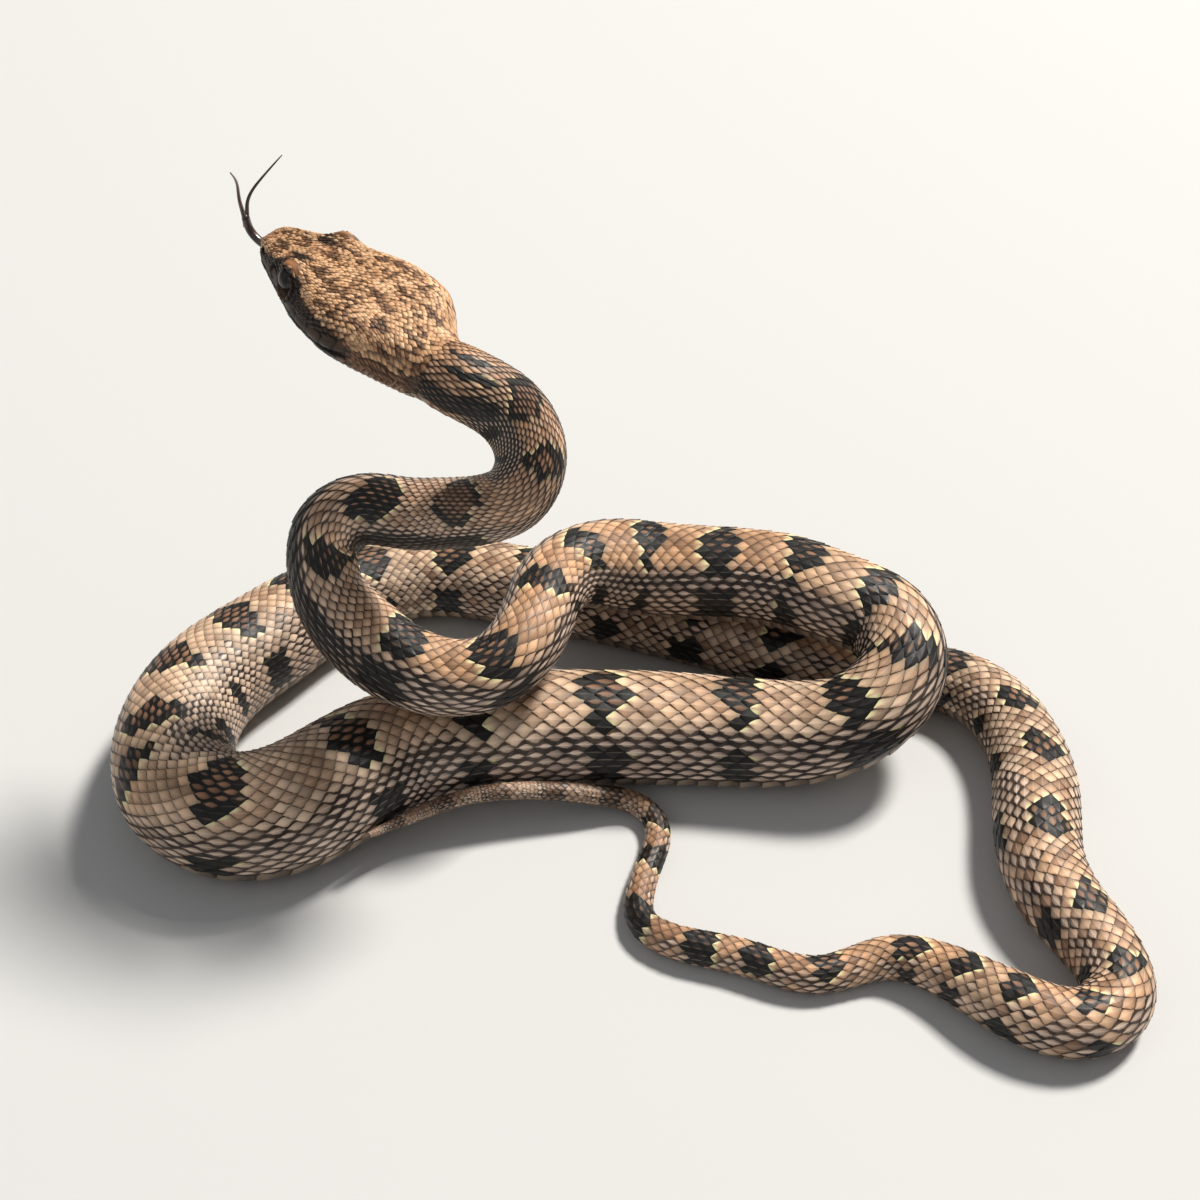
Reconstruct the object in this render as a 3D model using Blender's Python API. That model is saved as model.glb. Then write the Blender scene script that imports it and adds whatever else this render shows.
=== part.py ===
"""Coiled young lancehead-type pit viper, life size, a still model in one loose coil.

The body is one smooth route from the tail tip to the nape, with a loaf-shaped section that flattens
where it rests on the floor.  It is parted by thin cuts into tail, trunk and neck lengths.  The head is
lofted through named stations, then parted along the mouth into head and lower jaw, with the eyes and
the forked tongue as pieces of their own.  Lengths in the tables are millimetres; the meshes are metres.
"""

import math

import bmesh
import bpy
import numpy as np
from mathutils import Matrix, Vector

MM = 0.001
GAP = 0.3                     # clear gap between touching pieces
ORIGIN = (1.44, -25.25)         # middle of the resting outline, in the route's own coordinates

# Section of the body
SIDES = 16                    # corners of one ring
WIDE = 1.04                   # half width over girth radius
BELLY = 0.85                  # height of the centreline over girth radius, where the belly lies flat
BELLY_RAISED = 0.98           # the same where the body is lifted clear and hangs round
LIFT_ROUND = 2.0              # lift over which the flat belly rounds out
FLAT_SNAP = 0.08              # belly corners this close to the floor lie exactly on it
SPAN_POINTS = 24              # points that the smooth centreline has in each span of the route
HEAD_GUIDE = 7.0              # how far the centreline runs on inside the head, to leave it straight
RING_STEP = 3.4               # most distance between rings
RING_PER_RADIUS = 0.75        # ring distance over girth radius
RING_LEAST = 2.2              # least distance between rings, in the thin tail

# Route of the centreline from the tail tip, as (x, y, lift above the resting height)
TAIL_ROUTE = [
    (-29.7, -38.1, 6.0), (-24.1, -33.5, 4.4), (-18.0, -31.0, 5.0), (-9.0, -29.0, 4.3),
    (0.6, -27.8, 1.9), (4.8, -28.0, 0.4), (6.9, -30.3, 0), (7.4, -33.3, 0), (6.6, -37.0, 0),
    (5.0, -43.0, 0), (5.3, -47.8, 0), (8.3, -50.6, 0), (17.0, -53.5, 0), (26.5, -56.3, 0),
    (35.0, -54.0, 0),
]
RIGHT_ROUTE = [
    (39.5, -55.2, 0), (48.0, -61.5, 0), (52.3, -64.1, 0), (57.0, -64.8, 0), (61.0, -61.8, 0),
    (60.9, -55.3, 0), (56.8, -47.0, 0), (55.0, -40.0, 0), (55.8, -29.0, 0), (55.0, -18.0, 0),
    (52.5, -12.0, 0), (48.5, -8.0, 0), (42.0, -6.0, 0),
]
BACK_ROUTE = [
    (31.5, -4.2, 0), (14.0, 2.4, 0), (-3.0, 8.4, 0), (-14.0, 11.5, 0), (-21.0, 12.8, 0),
    (-28.5, 12.0, 0), (-36.0, 8.0, 0),
]
LEFT_ROUTE = [
    (-45.7, -2.0, 0), (-51.5, -9.0, 0), (-54.6, -16.5, 0), (-54.9, -25.0, 0), (-51.8, -31.7, 0),
    (-46.0, -34.9, 0), (-39.1, -33.5, 0), (-32.9, -28.7, 0),
]
FRONT_ROUTE = [
    (-26.5, -23.8, 0), (-18.0, -21.0, 0), (-8.0, -19.3, 0), (5.0, -18.8, 0), (15.0, -19.3, 0.1),
]
RISE_ROUTE = [
    (24.5, -20.5, 1.2), (32.0, -20.8, 3.9), (37.3, -18.4, 7.2), (39.4, -13.3, 9.6),
    (37.3, -8.2, 11.0), (32.0, -5.4, 11.7), (25.0, -2.0, 11.6), (13.0, 0.2, 11.4),
    (5.0, 0.8, 11.8), (-0.5, -0.3, 13.6), (-4.7, -3.7, 15.8),
]
NECK_ROUTE = [
    (-7.4, -10.8, 17.2), (-10.0, -19.0, 17.3), (-13.7, -22.6, 16.4), (-18.6, -23.4, 15.9),
    (-24.2, -22.3, 16.5), (-29.4, -19.5, 18.5), (-33.5, -16.9, 23.1), (-34.7, -14.7, 28.0),
    (-33.6, -13.2, 32.2), (-29.9, -13.2, 35.1), (-24.4, -15.9, 37.0), (-18.1, -19.4, 39.9),
    (-13.4, -22.2, 43.1), (-9.6, -22.9, 46.2), (-8.1, -21.0, 49.6), (-9.1, -19.3, 52.9),
    (-11.6, -18.7, 55.9), (-15.3, -18.6, 58.5),
]
ROUTE = TAIL_ROUTE + RIGHT_ROUTE + BACK_ROUTE + LEFT_ROUTE + FRONT_ROUTE + RISE_ROUTE + NECK_ROUTE

# Girth radius along the route, as (distance from the tail tip, radius)
GIRTH = [
    (0, 0.35), (8, 0.9), (24, 1.2), (40, 1.55), (56, 1.8), (68, 2.25), (84, 2.35), (96, 3.1),
    (110, 4.15), (122, 4.3), (138, 5.0), (153, 5.5), (170, 4.8), (186, 4.35), (205, 5.1), (222, 5.6),
    (256, 5.75), (282, 7.0), (316, 7.9), (332, 8.2), (350, 7.9), (390, 7.2), (418, 5.7),
    (440, 6.3), (458, 6.3), (472, 4.9), (490, 4.6), (508, 5.2), (520, 4.35), (540, 4.3),
    (555, 4.0), (568, 4.25), (580, 4.2),
]
# Lean of the back away from upright along the route, as (distance, lean to +X, lean to +Y)
LEAN = [
    (0, 0, 0), (100, 0, 0), (130, 0.22, 0), (165, 0.22, 0), (185, 0, 0), (440, 0, 0),
    (480, 0.1, -0.5), (500, 0.15, -0.75), (558, 0.15, -0.75), (578, 0.13, -0.08),
]
# Where one length ends and the next begins, as (name, distance of its front end)
LENGTHS = [
    ("tail_tip", 31), ("tail_middle", 64), ("tail_base", 94), ("trunk_01", 128), ("trunk_02", 160),
    ("trunk_03", 192), ("trunk_04", 224), ("trunk_05", 256), ("trunk_06", 290), ("trunk_07", 318),
    ("trunk_08", 346), ("trunk_09", 372), ("trunk_10", 398), ("trunk_11", 432), ("trunk_12", 458),
    ("neck_base", 492), ("neck_middle", 532), ("neck_front", None),
]

# Head, with its own axes: x right, y forward, z up, origin in the middle of the nape
HEAD_LENGTH = 30.5
NAPE = (-18.3, -17.3, 63.1)   # in the route's coordinates, height above the floor
HEAD_YAW = 50.0               # turn to the left from +Y, degrees
HEAD_PITCH = 7.6              # snout up
HEAD_ROLL = 1.4               # right side down
NAPE_TURN = 5.0               # stretch over which the neck's rings turn square to the head
HEAD_SWAY = 1.75              # how far the head's middle line lies to the right of the nape
SWAY_LENGTH = 8.5             # stretch at the back of the head that takes up the sway
HEAD_RINGS = 23
RING_CROWDING = 0.35          # share by which the head's rings crowd towards the snout
HALF_CORNERS = 11             # corners down one half of a head ring
# Stations behind the snout tip: distance, top height, canthus half width and height, lip half width
# and height, jaw half width and height, throat height
STATIONS = [
    (0.0, 0.9, 0.8, 0.6, 0.9, -0.2, 0.6, -0.9, -1.1),
    (0.6, 1.9, 1.5, 1.6, 1.6, 0.0, 1.3, -1.4, -1.6),
    (1.6, 2.4, 2.1, 2.1, 2.4, 0.1, 1.9, -1.6, -1.9),
    (3.6, 2.9, 2.7, 2.6, 3.4, 0.1, 2.7, -1.9, -2.3),
    (6.2, 3.4, 3.4, 3.1, 4.7, 0.0, 3.8, -2.2, -2.8),
    (9.0, 4.0, 4.8, 3.9, 6.1, 0.0, 4.8, -2.5, -3.2),
    (11.4, 4.1, 4.9, 3.6, 7.2, 0.1, 5.7, -2.7, -3.5),
    (14.6, 4.4, 5.6, 3.7, 8.2, 0.3, 6.4, -2.6, -3.8),
    (18.2, 4.6, 6.1, 3.8, 8.8, 0.4, 6.9, -2.7, -4.1),
    (21.6, 4.6, 6.0, 3.7, 8.6, 0.4, 6.7, -2.7, -4.3),
    (24.8, 4.4, 5.1, 3.6, 7.3, 0.3, 5.6, -2.9, -4.3),
    (27.8, 4.1, 3.7, 3.2, 5.4, 0.1, 4.2, -2.9, -4.1),
    (30.5, 3.8, 2.9, 2.7, 4.1, 0.0, 3.0, -2.7, -3.8),
]
# Mouth line in side view, as (distance behind the snout tip, height)
MOUTH = [(-2.0, -0.55), (3.0, -0.65), (9.0, -0.8), (15.0, -0.7), (19.0, -0.2), (21.8, 0.6)]
JAW_SLANT = 1.6               # how far the jaw's hind edge slopes back towards the throat
JAW_CORNER = -2.0             # height at which that slope ends
CUTTER_WIDE = 14.0            # half width of the cutter that parts the jaw
CUTTER_DEEP = -12.0           # height of its underside
EYE_RADIUS = 1.65
EYE_PLACE = (4.25, 8.6, 1.75)  # beside the middle line, behind the snout tip, height
NOTCH_RADIUS = 0.85           # round notch in the lips for the tongue
NOTCH_DEPTH = 2.4
NOTCH_SIDES = 12
EYE_SEGMENTS = 14
EYE_RINGS = 8

# Tongue, in the head's axes: (ahead of the snout tip, height) of the stem, then the two tines
TONGUE_HEIGHT = -0.6
TONGUE_LEAN = 0.1             # how far the stem leans to the left for each length ahead
TONGUE_STEM = [(-2.0, 0.0), (-0.4, 0.0), (1.0, 0.2), (2.4, 1.0), (3.2, 2.6)]
# Each tine as (out to its side, ahead of the snout tip, height)
TONGUE_TINES = {
    -1.0: [(1.0, 3.5, 5.0), (1.9, 3.1, 8.3), (3.9, 2.2, 11.4)],
    1.0: [(0.3, 3.5, 4.5), (2.1, 3.2, 7.0), (4.9, 2.5, 9.6)],
}
STEM_RADIUS = 0.62
TINE_RADIUS = 0.34
TONGUE_SIDES = 8

COLOURS = {
    "tail": ((0.55, 0.37, 0.22), 0.55),
    "trunk": ((0.52, 0.36, 0.25), 0.55),
    "neck": ((0.50, 0.35, 0.23), 0.55),
    "head": ((0.60, 0.38, 0.20), 0.5),
    "jaw": ((0.42, 0.33, 0.26), 0.5),
    "eye": ((0.20, 0.12, 0.06), 0.12),
    "tongue": ((0.09, 0.05, 0.05), 0.25),
}


def material(kind):
    """One Principled material for each kind of piece."""
    name = "skin_" + kind
    found = bpy.data.materials.get(name)
    if found:
        return found
    colour, roughness = COLOURS[kind]
    made = bpy.data.materials.new(name)
    made.use_nodes = True
    shader = made.node_tree.nodes["Principled BSDF"]
    shader.inputs["Base Color"].default_value = (*colour, 1.0)
    shader.inputs["Roughness"].default_value = roughness
    shader.inputs["Metallic"].default_value = 0.0
    return made


def eased(table, at):
    """Value of a table of (place, value...) rows, eased between its rows."""
    at = np.asarray(at, dtype=float)
    rows = np.array(table, dtype=float)
    row = np.clip(np.searchsorted(rows[:, 0], at, side="right") - 1, 0, len(rows) - 2)
    part = np.clip((at - rows[row, 0]) / (rows[row + 1, 0] - rows[row, 0]), 0.0, 1.0)
    part = part * part * (3.0 - 2.0 * part)
    return rows[row, 1:] * (1.0 - part[..., None]) + rows[row + 1, 1:] * part[..., None]


def spline(points, per_span):
    """Natural cubic curve through the points, with chord lengths as its knots."""
    points = np.array(points, dtype=float)
    knots = np.r_[0.0, np.cumsum(np.linalg.norm(np.diff(points, axis=0), axis=1))]
    step = np.diff(knots)
    count = len(points)
    system = np.eye(count)
    right = np.zeros_like(points)
    for i in range(1, count - 1):
        system[i, i - 1:i + 2] = (step[i - 1], 2.0 * (step[i - 1] + step[i]), step[i])
        right[i] = 6.0 * ((points[i + 1] - points[i]) / step[i]
                          - (points[i] - points[i - 1]) / step[i - 1])
    bend = np.linalg.solve(system, right)
    curve = []
    for i in range(count - 1):
        part = np.linspace(0.0, 1.0, per_span, endpoint=False)[:, None]
        back = 1.0 - part
        curve.append(back * points[i] + part * points[i + 1]
                     + ((back ** 3 - back) * bend[i] + (part ** 3 - part) * bend[i + 1])
                     * step[i] ** 2 / 6.0)
    return np.vstack(curve + [points[-1:]])


def head_axes():
    """Right, forward and up of the head as the columns of a matrix, with the nape as its origin."""
    turn = (Matrix.Rotation(math.radians(HEAD_YAW), 4, "Z")
            @ Matrix.Rotation(math.radians(HEAD_PITCH), 4, "X")
            @ Matrix.Rotation(math.radians(HEAD_ROLL), 4, "Y"))
    place = Matrix.Translation((NAPE[0] - ORIGIN[0], NAPE[1] - ORIGIN[1], NAPE[2]))
    return place @ turn


class Body:
    """The body's centreline, with its girth and frame at any distance from the tail tip."""

    def __init__(self):
        forward = head_axes().to_3x3().col[1]
        inside_head = Vector(NAPE) + HEAD_GUIDE * forward
        nape_lift = NAPE[2] - BELLY * GIRTH[-1][1]
        points = ROUTE + [(NAPE[0], NAPE[1], nape_lift)]
        points += [(inside_head.x, inside_head.y, nape_lift + HEAD_GUIDE * forward.z)]
        curve = spline(points, SPAN_POINTS) - np.array([ORIGIN[0], ORIGIN[1], 0.0])
        along = np.r_[0.0, np.cumsum(np.linalg.norm(np.diff(curve, axis=0), axis=1))]
        self.length = along[-1 - SPAN_POINTS]
        self.along = along
        self.lift = curve[:, 2].clip(0.0)
        radius = eased(GIRTH, along)[:, 0]
        self.centre = np.column_stack([curve[:, :2], self.lift + BELLY * radius])
        course = np.gradient(self.centre, axis=0)
        course /= np.linalg.norm(course, axis=1)[:, None]
        turned = np.clip((along - self.length + NAPE_TURN) / NAPE_TURN, 0.0, 1.0)[:, None]
        self.tangent = course * (1.0 - turned) + np.array(forward) * turned

    def at(self, distance, track):
        """A track of the route, such as its centre, at one distance."""
        return np.array([np.interp(distance, self.along, column) for column in track.T])

    def ring(self, distance):
        """The corners of one section, counted round from the back line."""
        centre = self.at(distance, self.centre)
        forward = self.at(distance, self.tangent)
        forward /= np.linalg.norm(forward)
        lean = eased(LEAN, distance)
        upright = np.array([lean[0], lean[1], 1.0])
        right = np.cross(forward, upright)
        right /= np.linalg.norm(right)
        up = np.cross(right, forward)
        radius = eased(GIRTH, distance)[0]
        lift = float(np.interp(distance, self.along, self.lift))
        raised = min(lift / LIFT_ROUND, 1.0)
        lowest = -radius * (BELLY + (BELLY_RAISED - BELLY) * raised)
        angle = np.arange(SIDES) * 2.0 * math.pi / SIDES
        side = radius * WIDE * np.sin(angle)
        height = np.maximum(radius * np.cos(angle), lowest)
        corners = centre + side[:, None] * right + height[:, None] * up
        corners[corners[:, 2] < FLAT_SNAP, 2] = 0.0
        return corners

    def stops(self, start, end):
        """Ring distances of one length, closer together where the body is thin."""
        places = [start]
        while places[-1] < end:
            radius = eased(GIRTH, places[-1])[0]
            places.append(places[-1] + min(RING_STEP, max(RING_PER_RADIUS * radius, RING_LEAST)))
        places = np.array(places)
        return start + (places - start) * (end - start) / (places[-1] - start)


def loft(name, rings, kind):
    """A closed solid through equal rings of corners given in millimetres, flat at both ends."""
    mesh = bmesh.new()
    rows = [[mesh.verts.new(Vector(corner) * MM) for corner in ring] for ring in rings]
    sides = len(rows[0])
    for near, far in zip(rows, rows[1:]):
        for i in range(sides):
            j = (i + 1) % sides
            mesh.faces.new((near[i], near[j], far[j], far[i]))
    mesh.faces.new(rows[0][::-1])
    mesh.faces.new(rows[-1])
    bmesh.ops.recalc_face_normals(mesh, faces=mesh.faces)
    bmesh.ops.triangulate(mesh, faces=mesh.faces)
    return finish(name, mesh, kind)


def finish(name, mesh, kind):
    """Puts a bmesh into the scene as a smooth-shaded object with its material."""
    data = bpy.data.meshes.new(name)
    mesh.to_mesh(data)
    mesh.free()
    data.shade_smooth()
    data.set_sharp_from_angle(angle=math.radians(50.0))
    if kind:
        data.materials.append(material(kind))
    made = bpy.data.objects.new(name, data)
    bpy.context.collection.objects.link(made)
    return made


def body_lengths(body):
    """Tail, trunk and neck, one solid for each named length."""
    start = 0.0
    for name, front in LENGTHS:
        end = body.length - GAP if front is None else front - GAP / 2.0
        rings = [body.ring(distance) for distance in body.stops(start, end)]
        loft(name, rings, name.split("_")[0])
        start = end + GAP


def half_outline(station):
    """Corners of the right half of a head ring from crown to throat, eased through its key points."""
    _, top, canthus, canthus_z, lip, lip_z, jaw, jaw_z, throat = station
    keys = [(0.0, top), (canthus * 0.55, top * 0.985), (canthus, canthus_z),
            ((canthus + 2.0 * lip) / 3.0, (canthus_z + lip_z) / 2.0), (lip, lip_z),
            (jaw, jaw_z), (jaw * 0.5, throat * 0.96), (0.0, throat)]
    curve = spline(keys, 12)
    along = np.r_[0.0, np.cumsum(np.linalg.norm(np.diff(curve, axis=0), axis=1))]
    places = np.linspace(0.0, along[-1], HALF_CORNERS + 1)
    half = np.column_stack([np.interp(places, along, curve[:, k]) for k in (0, 1)])
    half[:, 0] = half[:, 0].clip(0.0)
    return half


def sway(behind):
    """Sideways shift of the head's middle line at a distance behind the snout tip."""
    back = min(max((behind - HEAD_LENGTH + SWAY_LENGTH) / SWAY_LENGTH, 0.0), 1.0)
    return HEAD_SWAY * (1.0 - back * back * (3.0 - 2.0 * back))


def head_ring(behind):
    """One whole ring of the head at a distance behind the snout tip, in the head's axes."""
    half = half_outline([behind, *eased(STATIONS, behind)])
    whole = np.vstack([half, half[-2:0:-1] * (-1.0, 1.0)])
    whole[:, 0] += sway(behind)
    forward = np.full(len(whole), HEAD_LENGTH - behind)
    return np.column_stack([whole[:, 0], forward, whole[:, 1]])


def head_whole():
    """The head with its lower jaw, before it is parted."""
    part = np.linspace(0.0, 1.0, HEAD_RINGS)
    behind = HEAD_LENGTH * (RING_CROWDING * part ** 2 + (1.0 - RING_CROWDING) * part)
    return loft("head", [head_ring(distance) for distance in behind], "head")


def jaw_block(name, shrink):
    """Cutter below the mouth line and ahead of the jaw's hind edge, drawn back by a margin."""
    line = spline(MOUTH, 4)
    side = [(HEAD_LENGTH - behind, height - shrink) for behind, height in line]
    hind = side[-1][0] + shrink
    side[-1] = (hind, side[-1][1])
    outline = side + [(hind - JAW_SLANT, JAW_CORNER), (hind - JAW_SLANT, CUTTER_DEEP),
                      (side[0][0], CUTTER_DEEP)]
    rings = [[(x, y, z) for y, z in outline] for x in (-CUTTER_WIDE, CUTTER_WIDE)]
    cutter = loft(name, rings, None)
    cutter.hide_render = True
    cutter.display_type = "WIRE"
    return cutter


def ball(name, radius, place, kind):
    """A ball at a place in the head's axes, with its poles out to the sides."""
    mesh = bmesh.new()
    bmesh.ops.create_uvsphere(mesh, u_segments=EYE_SEGMENTS, v_segments=EYE_RINGS, radius=radius * MM)
    bmesh.ops.rotate(mesh, verts=mesh.verts, matrix=Matrix.Rotation(math.pi / 2, 3, "Y"))
    bmesh.ops.translate(mesh, verts=mesh.verts, vec=Vector(place) * MM)
    return finish(name, mesh, kind)


def notch():
    """Cutter for the round notch in the front of the lips."""
    rings = []
    for forward in (HEAD_LENGTH + 2.0, HEAD_LENGTH - NOTCH_DEPTH):
        angle = np.arange(NOTCH_SIDES) * 2.0 * math.pi / NOTCH_SIDES
        rings.append([(HEAD_SWAY + NOTCH_RADIUS * math.cos(a), forward,
                       TONGUE_HEIGHT + NOTCH_RADIUS * math.sin(a)) for a in angle])
    cutter = loft("notch", rings, None)
    cutter.hide_render = True
    cutter.display_type = "WIRE"
    return cutter


def carve(piece, cutter, operation="DIFFERENCE"):
    """Applies an exact Boolean with a cutter."""
    step = piece.modifiers.new(cutter.name, "BOOLEAN")
    step.operation = operation
    step.solver = "EXACT"
    step.object = cutter


def bake(piece):
    """Replaces a piece's mesh by its evaluated one, so that the cutters can go."""
    bpy.context.view_layer.update()
    seen = piece.evaluated_get(bpy.context.evaluated_depsgraph_get())
    data = bpy.data.meshes.new_from_object(seen)
    piece.modifiers.clear()
    piece.data = data


def tube_rings(path, radii, sides):
    """Rings square to a path of points, with the path's own sideways axis as reference."""
    path = np.array(path, dtype=float)
    tangent = np.gradient(path, axis=0)
    tangent /= np.linalg.norm(tangent, axis=1)[:, None]
    rings = []
    for centre, forward, radius in zip(path, tangent, radii):
        side = np.array([1.0, 0.0, 0.0]) - forward * forward[0]
        side /= np.linalg.norm(side)
        up = np.cross(side, forward)
        angle = np.arange(sides) * 2.0 * math.pi / sides
        rings.append(centre + radius * (np.cos(angle)[:, None] * side
                                        + np.sin(angle)[:, None] * up))
    return rings


def tongue():
    """The forked tongue: a stem that curls up from the lips, and two tines joined to it."""
    stem = [(HEAD_SWAY - TONGUE_LEAN * ahead, HEAD_LENGTH + ahead, TONGUE_HEIGHT + height)
            for ahead, height in TONGUE_STEM]
    path = spline(stem, 2)
    piece = loft("tongue", tube_rings(path, np.full(len(path), STEM_RADIUS), TONGUE_SIDES), "tongue")
    root = np.array(stem[-1])
    below = root - np.array([0.0, 0.15, 1.0])
    for side, points in TONGUE_TINES.items():
        tine = [below + (side * 0.1, 0.0, 0.0), root + (side * 0.3, 0.0, 0.2)]
        tine += [(HEAD_SWAY + side * out, HEAD_LENGTH + ahead, TONGUE_HEIGHT + height)
                 for out, ahead, height in points]
        path = spline(tine, 2)
        radii = np.linspace(TINE_RADIUS * 1.15, TINE_RADIUS, len(path))
        other = loft("tine", tube_rings(path, radii, TONGUE_SIDES), None)
        carve(piece, other, "UNION")
        bake(piece)
        bpy.data.objects.remove(other)
    return piece


def head_pieces():
    """Head, lower jaw, eyes and tongue, in the head's axes and then set on the nape."""
    head = head_whole()
    jaw = head.copy()
    jaw.data = head.data.copy()
    jaw.name = "lower_jaw"
    jaw.data.materials.clear()
    jaw.data.materials.append(material("jaw"))
    cutters = [jaw_block("below_mouth", 0.0), jaw_block("jaw_room", GAP), notch()]
    bpy.context.collection.objects.link(jaw)
    carve(head, cutters[0])
    carve(jaw, cutters[1], "INTERSECT")
    for piece in (head, jaw):
        carve(piece, cutters[2])
    pieces = [head, jaw, tongue()]
    for name, side in (("eye_left", -1.0), ("eye_right", 1.0)):
        place = (HEAD_SWAY + side * EYE_PLACE[0], HEAD_LENGTH - EYE_PLACE[1], EYE_PLACE[2])
        socket = ball("socket_" + name, EYE_RADIUS + GAP, place, None)
        carve(head, socket)
        cutters.append(socket)
        pieces.append(ball(name, EYE_RADIUS, place, "eye"))
    for piece in (head, jaw):
        bake(piece)
    for cutter in cutters:
        bpy.data.objects.remove(cutter)
    axes = head_axes()
    axes.translation *= MM
    for piece in pieces:
        piece.matrix_world = axes


def main():
    """Clears the scene and builds every piece."""
    for old in list(bpy.data.objects):
        bpy.data.objects.remove(old)
    body_lengths(Body())
    head_pieces()


main()
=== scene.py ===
"""The looks of a coiled young lancehead-type pit viper: skin, keeled scales over it, eyes and tongue.

Tables and arrays hold millimetres and degrees; meshes are made in metres.  A place on the animal is
given by S, the distance from the tail tip along the centreline and on through the head to the snout,
and by the arc, the distance round the section from the back line, positive on the animal's right.
"""
import logging
import math
from dataclasses import dataclass
from enum import Enum

import bpy
import numpy as np
from mathutils import Matrix


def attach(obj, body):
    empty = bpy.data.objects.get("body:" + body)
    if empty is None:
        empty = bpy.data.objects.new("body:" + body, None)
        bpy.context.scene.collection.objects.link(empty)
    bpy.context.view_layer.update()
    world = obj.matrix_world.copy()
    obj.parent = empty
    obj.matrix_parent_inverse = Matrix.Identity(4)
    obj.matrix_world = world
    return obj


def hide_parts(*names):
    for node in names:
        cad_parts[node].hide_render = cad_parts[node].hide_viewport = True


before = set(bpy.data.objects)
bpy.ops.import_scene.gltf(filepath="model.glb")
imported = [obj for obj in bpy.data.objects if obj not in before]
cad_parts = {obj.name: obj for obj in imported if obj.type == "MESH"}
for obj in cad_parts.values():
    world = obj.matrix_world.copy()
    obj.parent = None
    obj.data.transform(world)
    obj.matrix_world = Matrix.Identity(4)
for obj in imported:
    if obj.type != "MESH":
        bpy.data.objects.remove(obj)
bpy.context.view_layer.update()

MM = 0.001
BAKE_MAP = "OFBake"
LOG = logging.getLogger("viper")
Array = np.ndarray
Colour = tuple[float, float, float, float]
Generator = np.random.Generator
Material = bpy.types.Material
Mesh = bpy.types.Mesh
Socket = bpy.types.NodeSocket

# The route of the centreline and its girth, as the solids have them
ORIGIN = (1.44, -25.25)
WIDE = 1.04
BELLY = 0.85
BELLY_RAISED = 0.98
BELLY_SOFT = 0.12             # softness of the belly's edge, over girth radius
LIFT_ROUND = 2.0
SPAN_POINTS = 24
HEAD_GUIDE = 7.0
TAIL_ROUTE = [
    (-29.7, -38.1, 6.0), (-24.1, -33.5, 4.4), (-18.0, -31.0, 5.0), (-9.0, -29.0, 4.3),
    (0.6, -27.8, 1.9), (4.8, -28.0, 0.4), (6.9, -30.3, 0), (7.4, -33.3, 0), (6.6, -37.0, 0),
    (5.0, -43.0, 0), (5.3, -47.8, 0), (8.3, -50.6, 0), (17.0, -53.5, 0), (26.5, -56.3, 0),
    (35.0, -54.0, 0),
]
RIGHT_ROUTE = [
    (39.5, -55.2, 0), (48.0, -61.5, 0), (52.3, -64.1, 0), (57.0, -64.8, 0), (61.0, -61.8, 0),
    (60.9, -55.3, 0), (56.8, -47.0, 0), (55.0, -40.0, 0), (55.8, -29.0, 0), (55.0, -18.0, 0),
    (52.5, -12.0, 0), (48.5, -8.0, 0), (42.0, -6.0, 0),
]
BACK_ROUTE = [
    (31.5, -4.2, 0), (14.0, 2.4, 0), (-3.0, 8.4, 0), (-14.0, 11.5, 0), (-21.0, 12.8, 0),
    (-28.5, 12.0, 0), (-36.0, 8.0, 0),
]
LEFT_ROUTE = [
    (-45.7, -2.0, 0), (-51.5, -9.0, 0), (-54.6, -16.5, 0), (-54.9, -25.0, 0), (-51.8, -31.7, 0),
    (-46.0, -34.9, 0), (-39.1, -33.5, 0), (-32.9, -28.7, 0),
]
FRONT_ROUTE = [
    (-26.5, -23.8, 0), (-18.0, -21.0, 0), (-8.0, -19.3, 0), (5.0, -18.8, 0), (15.0, -19.3, 0.1),
]
RISE_ROUTE = [
    (24.5, -20.5, 1.2), (32.0, -20.8, 3.9), (37.3, -18.4, 7.2), (39.4, -13.3, 9.6),
    (37.3, -8.2, 11.0), (32.0, -5.4, 11.7), (25.0, -2.0, 11.6), (13.0, 0.2, 11.4),
    (5.0, 0.8, 11.8), (-0.5, -0.3, 13.6), (-4.7, -3.7, 15.8),
]
NECK_ROUTE = [
    (-7.4, -10.8, 17.2), (-10.0, -19.0, 17.3), (-13.7, -22.6, 16.4), (-18.6, -23.4, 15.9),
    (-24.2, -22.3, 16.5), (-29.4, -19.5, 18.5), (-33.5, -16.9, 23.1), (-34.7, -14.7, 28.0),
    (-33.6, -13.2, 32.2), (-29.9, -13.2, 35.1), (-24.4, -15.9, 37.0), (-18.1, -19.4, 39.9),
    (-13.4, -22.2, 43.1), (-9.6, -22.9, 46.2), (-8.1, -21.0, 49.6), (-9.1, -19.3, 52.9),
    (-11.6, -18.7, 55.9), (-15.3, -18.6, 58.5),
]
ROUTE = TAIL_ROUTE + RIGHT_ROUTE + BACK_ROUTE + LEFT_ROUTE + FRONT_ROUTE + RISE_ROUTE + NECK_ROUTE
GIRTH = [
    (0, 0.35), (8, 0.9), (24, 1.2), (40, 1.55), (56, 1.8), (68, 2.25), (84, 2.35), (96, 3.1),
    (110, 4.15), (122, 4.3), (138, 5.0), (153, 5.5), (170, 4.8), (186, 4.35), (205, 5.1), (222, 5.6),
    (256, 5.75), (282, 7.0), (316, 7.9), (332, 8.2), (350, 7.9), (390, 7.2), (418, 5.7),
    (440, 6.3), (458, 6.3), (472, 4.9), (490, 4.6), (508, 5.2), (520, 4.35), (540, 4.3),
    (555, 4.0), (568, 4.25), (580, 4.2),
]
LEAN = [
    (0, 0, 0), (100, 0, 0), (130, 0.22, 0), (165, 0.22, 0), (185, 0, 0), (440, 0, 0),
    (480, 0.1, -0.5), (500, 0.15, -0.75), (558, 0.15, -0.75), (578, 0.13, -0.08),
]

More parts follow.
